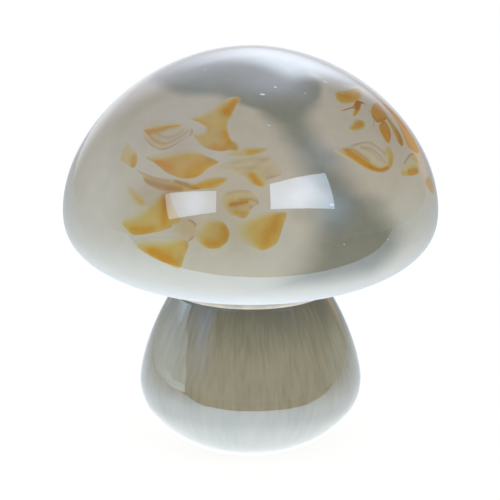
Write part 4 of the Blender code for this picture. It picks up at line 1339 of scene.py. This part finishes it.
def seed_tree():
    """A flattened bubble at each point of the start mesh, which says where it faces and how big it is."""
    tree, fields, group_out = geometry_tree("air_seeds", SEED_INPUTS)
    bubble = add_node(
        tree, "GeometryNodeMeshIcoSphere", Radius=SEED_RADIUS, Subdivisions=SEED_SUBDIVISIONS
    )
    turned = add_node(tree, "FunctionNodeAlignRotationToVector", Vector=named_vector(tree, "facing"))
    turned.axis = "Z"
    placed = add_node(
        tree, "GeometryNodeInstanceOnPoints", Points=fields["Geometry"], Instance=bubble.outputs[0],
        Rotation=turned.outputs[0], Scale=named_vector(tree, "size"),
    )
    finish_tree(tree, placed.outputs[0], fields["Material"], group_out)
    return tree


def seed_material():
    """Air in glass: a painted glint, pale and uneven, for the light that the bubble catches."""
    material, tree, shader, _ = new_material("air_seed")
    glint = ramp(tree, noise(tree, SEED_GLINT), CLOUD_FADE)
    # The seeds' colour is a painted highlight
    colour = mix_colours(tree, glint, SEED_GLINT_GREY, SEED_GLINT_PALE)
    set_inputs(shader, Base_Color=colour, Roughness=SEED_ROUGHNESS, IOR=SEED_IOR)
    return material


def air_seeds():
    """Air bubbles in the cap's casing, drawn out flat by the blowing, round each smoky gap."""
    rows = [
        (seed.bearing - GAP_MIDDLE + middle, seed.north, seed.length)
        for middle in (GAP_MIDDLE, *HIDDEN_GAP_BEARINGS) for seed in SEEDS
    ]
    bearing, north, length = np.array(rows).T
    turn = np.radians(bearing)
    points, outside = (cap_place(turn, 0.0, north * MM, inset) for inset in (SEED_INSET, 0.0))
    mesh = bpy.data.meshes.new("air_seeds")
    mesh.from_pydata(points.tolist(), [], [])
    set_vectors(mesh, "facing", (outside - points) / SEED_INSET)
    set_vectors(mesh, "size", length[:, None] * MM * np.array(SEED_SHAPE))
    return run_tree("air_seeds", seed_tree(), mesh, {"Material": seed_material()})


# Neck bead and foot seal

def turned_ring(name, outline, material, segments):
    """A turned piece from a closed outline of radius and height."""
    turn = np.linspace(0.0, 2.0 * math.pi, segments, endpoint=False)
    count = len(outline)
    points = [
        (radius * math.sin(angle), -radius * math.cos(angle), height)
        for angle in turn for radius, height in outline
    ]
    faces = []
    for column in range(segments):
        here = column * count
        there = (column + 1) % segments * count
        for row in range(count):
            below = (row + 1) % count
            faces.append((here + row, here + below, there + below, there + row))
    return mesh_piece(name, points, faces, material)


def neck_bead(material):
    """The ring of cream glass that fuses the cap's underside to the stem's rim."""
    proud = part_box("neck_bead")[1].x - NECK_RADIUS
    ends = [latitude_where(CAP, 0.0, 0, radius) for radius in (NECK_BORE, NECK_RADIUS)]
    seat_latitudes = np.linspace(*ends, BEAD_SEAT_ROWS)
    seat = [(float(r), float(h) - FUSE_GAP / 2.0) for r, h in zip(*wall(CAP, seat_latitudes, 0.0))]
    bottom = STEM_TOP + FUSE_GAP / 2.0
    middle = (seat[-1][1] + bottom) / 2.0
    half = (seat[-1][1] - bottom) / 2.0
    nose = []
    for angle in np.linspace(math.pi / 2.0, -math.pi / 2.0, BEAD_NOSE_ROWS)[1:]:
        nose.append((NECK_RADIUS + proud * math.cos(angle), middle + half * math.sin(angle)))
    return turned_ring("neck_bead", seat + nose + [(NECK_BORE, bottom)], material, STEM_SEGMENTS)


def foot_seal(material):
    """The polished plug that closes the foot."""
    low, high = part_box("foot_seal")
    radius = SEAL_RADIUS - FUSE_GAP
    outline = [
        (SEAL_PIP, high.z), (radius - SEAL_EDGE, high.z), (radius, high.z - SEAL_EDGE),
        (radius, low.z + SEAL_LOWER_EDGE),
    ]
    for share in np.linspace(SEAL_DISH_SHARE, 0.0, SEAL_ROWS):
        outline.append((max(radius * share, SEAL_PIP), low.z + SEAL_DISH * (1.0 - share ** 2)))
    return turned_ring("foot_seal", outline, material, SEAL_SEGMENTS)


# Stage

def seen_shares(tree):
    """1 for what the camera sees, and 1 for what it sees in or through the glass."""
    path = tree.nodes.new("ShaderNodeLightPath")
    through = Field(tree, path.outputs["Is Transmission Ray"])
    mirrored = Field(tree, path.outputs["Is Glossy Ray"]).math("MAXIMUM", through)
    return Field(tree, path.outputs["Is Camera Ray"]), mirrored


def level_distance(east, away):
    """Distance from the upright axis."""
    return (east * east + away * away).math("SQRT")


def add_shaders(tree, first, second):
    both = tree.nodes.new("ShaderNodeAddShader")
    feed(both.inputs[0], first)
    feed(both.inputs[1], second)
    return both.outputs[0]


def emission_material(name, see_through=False):
    """A material that only shines, with its tree and its Emission node."""
    material, tree, shader, output = new_material(name)
    tree.nodes.remove(shader)
    light = add_node(tree, "ShaderNodeEmission", Strength=1.0)
    surface = light.outputs[0]
    if see_through:
        clear = tree.nodes.new("ShaderNodeBsdfTransparent")
        surface = add_shaders(tree, clear.outputs[0], surface)
    set_inputs(output, Surface=surface)
    return material, tree, light


def floor_material():
    """Pale table: plain white, lifted to the photograph's white for what the camera and the glass see."""
    material, tree, shader, output = new_material("table_white")
    camera_seen, mirrored = seen_shares(tree)
    plain = (camera_seen + mirrored).dim()
    colour = mix_colours(tree, plain, FLOOR_SEEN_COLOUR, FLOOR_COLOUR)
    set_inputs(shader, Base_Color=colour, Roughness=FLOOR_ROUGHNESS, Specular_IOR_Level=0.0)

    east, away, _ = split(tree, object_place(tree))
    near = (level_distance(east, away) / -FLOOR_NEAR_REACH).math("EXPONENT") * FLOOR_MIRRORED_NEAR
    sideways = east.math("ABSOLUTE") / away.math("MAXIMUM", LEAST_DISTANCE)
    behind = ramp(tree, sideways, FLOOR_BEHIND_SIDE_FADE) * ramp(tree, away, FLOOR_BEHIND_FADE)
    front_edge = away - east * FLOOR_FRONT_SLOPE - FLOOR_MIRRORED_FRONT
    bright = near + FLOOR_MIRRORED_FAR + behind * FLOOR_MIRRORED_BEHIND
    bright = bright * ramp(tree, front_edge, FLOOR_FRONT_FADE)
    bright = bright * ramp(tree, east, FLOOR_RIGHT_FADE).dim(FLOOR_RIGHT_DIM)
    strength = camera_seen * FLOOR_LIFT + mirrored * bright + plain * FLOOR_BOUNCE
    tint = mix_colours(tree, mirrored, WHITE, FLOOR_MIRRORED_COLOUR)
    lift = add_node(tree, "ShaderNodeEmission", Color=tint, Strength=strength)
    set_inputs(output, Surface=add_shaders(tree, shader.outputs[0], lift.outputs[0]))
    return material


def plane(name, corners, material):
    mesh = bpy.data.meshes.new(name)
    mesh.from_pydata(corners, [], [tuple(range(len(corners)))])
    mesh.materials.append(material)
    piece = add_object(name, mesh)
    return piece


def only_in_reflections(piece):
    piece.visible_camera = False
    piece.visible_diffuse = False
    piece.visible_transmission = False
    piece.visible_shadow = False
    piece.visible_volume_scatter = False


def table():
    corners = [
        (FLOOR_LEFT, FLOOR_FRONT, FLOOR_HEIGHT), (FLOOR_RIGHT, FLOOR_FRONT, FLOOR_HEIGHT),
        (FLOOR_RIGHT, FLOOR_BACK, FLOOR_HEIGHT), (FLOOR_LEFT, FLOOR_BACK, FLOOR_HEIGHT),
    ]
    plane("table", corners, floor_material())


def soft_spot(tree, spot, reach):
    """A round spot that is 1 in its middle and fades within its reach."""
    east, away, up = [axis - middle for axis, middle in zip(split(tree, object_place(tree)), spot)]
    square = east * east + away * away + up * up
    return (square / -reach ** 2).math("EXPONENT")


def room_material():
    """The studio as the lustre mirrors it: dark in front, soft lights above, bright panels behind."""
    material, tree, light = emission_material("studio_room")
    east, away, up = split(tree, normalized(tree, object_place(tree)))
    sideways = east / away.math("MAXIMUM", LEAST_DISTANCE)
    rise = up / level_distance(east, away).math("MAXIMUM", LEAST_DISTANCE)

    right = ramp(tree, east, ROOM_RIGHT_FADE)
    low = ramp(tree, up, ROOM_LEFT_TOP_FADE).blend(ramp(tree, up, ROOM_RIGHT_TOP_FADE), right)
    side = ramp(tree, away, ROOM_SIDE_FADE) * low * ramp(tree, away, ROOM_BACK_FADE).dim(ROOM_BACK_DIM)
    colour = mix_colours(tree, side, ROOM_DARK, mix_colours(tree, right, ROOM_LEFT, ROOM_RIGHT))

    upper_left = ramp(tree, east, UPPER_LEFT_SIDE_FADE) * ramp(tree, up, UPPER_LEFT_UP_FADE)
    upper_left = upper_left * ramp(tree, away, UPPER_LEFT_BACK_FADE)
    upper_left = upper_left * ramp(tree, away, UPPER_LEFT_FRONT_FADE)
    crown = soft_spot(tree, CROWN_SPOT, CROWN_REACH)
    upper_right = soft_spot(tree, UPPER_RIGHT_SPOT, UPPER_RIGHT_REACH)
    glow = east * GLOW_AXIS.x + away * GLOW_AXIS.y + up * GLOW_AXIS.z
    glow = glow.math("MAXIMUM", 0.0) ** GLOW_POWER
    glow = glow * ramp(tree, sideways, GLOW_LEFT_FADE) * ramp(tree, sideways, GLOW_RIGHT_FADE)
    slanted = sideways - (rise - PANEL_SLANT_START).math("MAXIMUM", 0.0) * PANEL_SLANT
    panel = ramp(tree, slanted, PANEL_LEFT_FADE) * ramp(tree, sideways, PANEL_RIGHT_FADE)
    panel = panel * ramp(tree, rise, PANEL_TOP_FADE) * ramp(tree, rise, PANEL_BOTTOM_FADE)
    panel = panel * ramp(tree, away, PANEL_FRONT_FADE)
    right_back = ramp(tree, east, RIGHT_BACK_FADE)
    warm = right_back * ramp(tree, away, WARM_FRONT_FADE) * ramp(tree, up, WARM_TOP_FADE)
    backdrop = ramp(tree, away, BACKDROP_FRONT_FADE) * ramp(tree, up, BACKDROP_TOP_FADE) * right_back.dim()
    layers = (
        (upper_left, UPPER_LEFT_COLOUR), (crown, CROWN_LIGHT), (upper_right, UPPER_RIGHT_LIGHT),
        (glow, GLOW_COLOUR), (panel, PANEL_COLOUR), (warm, WARM_COLOUR), (backdrop, BACKDROP_COLOUR),
    )
    for share, layer_colour in layers:
        colour = mix_colours(tree, share, colour, layer_colour)
    set_inputs(light, Color=colour)
    return material


def studio_room():
    """The dome that stands in for the room in reflections."""
    shell = bmesh.new()
    bmesh.ops.create_uvsphere(shell, u_segments=ROOM_SEGMENTS, v_segments=ROOM_RINGS, radius=ROOM_RADIUS)
    mesh = bpy.data.meshes.new("studio_room")
    shell.to_mesh(mesh)
    shell.free()
    mesh.materials.append(room_material())
    piece = add_object("studio_room", mesh)
    only_in_reflections(piece)


def mirrored_by(piece, pieces):
    """Show a stage piece in the reflections of some pieces only."""
    only_in_reflections(piece)
    group = bpy.data.collections.new(piece.name)
    for lit in pieces:
        group.objects.link(lit)
    piece.light_linking.receiver_collection = group


def mirrored_card(name, corners, pieces):
    """A see-through card that shines in the reflections of some pieces: its tree and its Emission node."""
    material, tree, light = emission_material(name, see_through=True)
    mirrored_by(plane(name, corners, material), pieces)
    return tree, light


def spot_card(card, pieces):
    """A card with a faint round glow on it."""
    tree, light = mirrored_card(card.name, card.corners, pieces)
    set_inputs(light, Color=card.colour, Strength=soft_spot(tree, card.spot, card.reach))


def grey_card(pieces):
    """A grey card at the left, which the stem mirrors."""
    tree, light = mirrored_card("grey_card", CARD_OUTLINE, pieces)
    _, away, up = split(tree, object_place(tree))
    top = ramp(tree, up, CARD_TOP_FADE)
    level = ramp(tree, away, CARD_FRONT_FADE) * (1.0 - CARD_BACK_LEVEL) + CARD_BACK_LEVEL
    colour = mix_colours(tree, top, CARD_COLOUR, CARD_TOP_COLOUR)
    set_inputs(light, Color=colour, Strength=level.math("MAXIMUM", top))


def foot_glow(pieces):
    """A pale ring on the table round the foot, which the stem mirrors."""
    side = FOOT_GLOW_FADE[0]
    corners = [(-side, -side, 0.0), (side, -side, 0.0), (side, side, 0.0), (-side, side, 0.0)]
    tree, light = mirrored_card("foot_glow", corners, pieces)
    east, away, _ = split(tree, object_place(tree))
    strength = ramp(tree, level_distance(east, away), FOOT_GLOW_FADE)
    set_inputs(light, Color=FOOT_GLOW_COLOUR, Strength=strength)


def softbox(name, box, pieces):
    """A softbox: its face as the cap mirrors it, brightest in the middle, and its light."""
    tree, light = mirrored_card(name, box.corners, pieces)
    hot = soft_spot(tree, box.hot_spot, SOFTBOX_HOT_REACH) * box.hot_level
    folds = waver(tree, SOFTBOX_FOLDS, SOFTBOX_FOLD_DEPTH)
    set_inputs(light, Color=(*SOFTBOX_COLOUR, 1.0), Strength=(hot + box.level) * folds)

    lamp = bpy.data.lights.new(name, "AREA")
    lamp.shape = "RECTANGLE"
    lamp.size = LAMP_WIDTH
    lamp.size_y = LAMP_HEIGHT
    lamp.color = SOFTBOX_COLOUR
    lamp.energy = LAMP_RADIANCE * math.pi * LAMP_WIDTH * LAMP_HEIGHT
    holder = add_object(name + "_lamp", lamp)
    holder.location = box.hot_spot
    holder.rotation_mode = "QUATERNION"
    holder.rotation_quaternion = (LAMP_AIM - Vector(box.hot_spot)).to_track_quat("-Z", "Y")
    holder.visible_camera = False
    holder.visible_glossy = False


def studio_world():
    """White for what the camera and the glass see, and a plain level of light for the rest."""
    world = bpy.data.worlds.new("studio_white")
    world.use_nodes = True
    tree = world.node_tree
    camera_seen, mirrored = seen_shares(tree)
    strength = (camera_seen + mirrored) * (1.0 - AMBIENT) + AMBIENT
    set_inputs(tree.nodes["Background"], Color=WHITE, Strength=strength)
    bpy.context.scene.world = world


def camera():
    elevation = math.radians(CAMERA_ELEVATION)
    back = Vector((0.0, -math.cos(elevation), math.sin(elevation)))
    lens = bpy.data.cameras.new("camera")
    lens.lens = CAMERA_LENS
    lens.sensor_width = CAMERA_SENSOR
    lens.clip_start = CAMERA_NEAR
    holder = add_object("camera", lens)
    holder.location = CAMERA_AIM + back * CAMERA_DISTANCE
    holder.rotation_mode = "QUATERNION"
    holder.rotation_quaternion = (-back).to_track_quat("-Z", "Y")
    bpy.context.scene.camera = holder


# Assembly

def place(piece, node, slot):
    """Put a piece on the part's body, for the node that it stands for, or for none."""
    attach(piece, "root")
    if node:
        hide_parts(node)
    piece.visible_glossy = False


BLOWN_WALL = blown_wall_tree()
OPAL_COLOUR = opal_colour_group()


def main():
    bpy.context.scene.view_settings.view_transform = "Standard"
    camera()
    studio_world()
    studio_room()
    table()

    cap_lustre = clear_material("cap_lustre_glass", CAP_LUSTRE)
    stem_lustre = clear_material("stem_lustre_glass", STEM_LUSTRE)
    drawn_bump(stem_lustre)
    opal = opal_material()
    amber = amber_material()
    smoke = smoke_material()
    cream = cream_material()

    casing_inner = CAP_BUBBLE_INSET + FUSED_DEPTH
    cap_casing = cap_layer("cap_casing", (0.0, casing_inner), CAP_ROWS, CAP_SEGMENTS, cap_lustre)
    place(cap_casing, "cap_clear_casing", "clear_lustre_glass")
    bubble_insets = (CAP_BUBBLE_INSET, CAP_BUBBLE_INSET + CAP_BUBBLE_WALL)
    bubble = cap_layer("cap_bubble", bubble_insets, BUBBLE_ROWS, BUBBLE_SEGMENTS, opal)
    set_values(bubble.data, "smoke_edge", smoke_edge(mesh_points(bubble.data)))
    set_values(bubble.data, "warm_haze", warm_haze(mesh_points(bubble.data)))
    place(bubble, "cap_opal_bubble", "opal_glass")
    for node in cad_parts:
        if node.startswith("amber_chip_"):
            chip = amber_chip(node, chip_look(node), amber)
            chip.name = node.replace("amber_chip", "chip")
            place(chip, node, "amber_glass")
    place(air_seeds(), None, "clear_lustre_glass")

    stem_inner = STEM_BUBBLE_INSET + FUSED_DEPTH
    stem_casing = stem_layer("stem_casing", (0.0, stem_inner), STEM_ROWS, STEM_SEGMENTS, stem_lustre)
    place(stem_casing, "stem_clear_casing", "clear_lustre_glass")
    stem_insets = (STEM_BUBBLE_INSET, STEM_BUBBLE_INSET + STEM_BUBBLE_WALL)
    stem_bubble = stem_layer("stem_bubble", stem_insets, STEM_ROWS, STEM_SEGMENTS, smoke)
    place(stem_bubble, "stem_smoke_bubble", "smoke_streaked_glass")
    place(neck_bead(cream), "neck_bead", "cream_glass")
    place(foot_seal(cream), "foot_seal", "cream_glass")
    softbox("left_softbox", LEFT_SOFTBOX, [cap_casing])
    softbox("right_softbox", RIGHT_SOFTBOX, [cap_casing])
    spot_card(BLUE_SPILL, [cap_casing])
    grey_card([stem_casing])
    spot_card(LAVENDER_CARD, [stem_casing])
    foot_glow([stem_casing])


main()
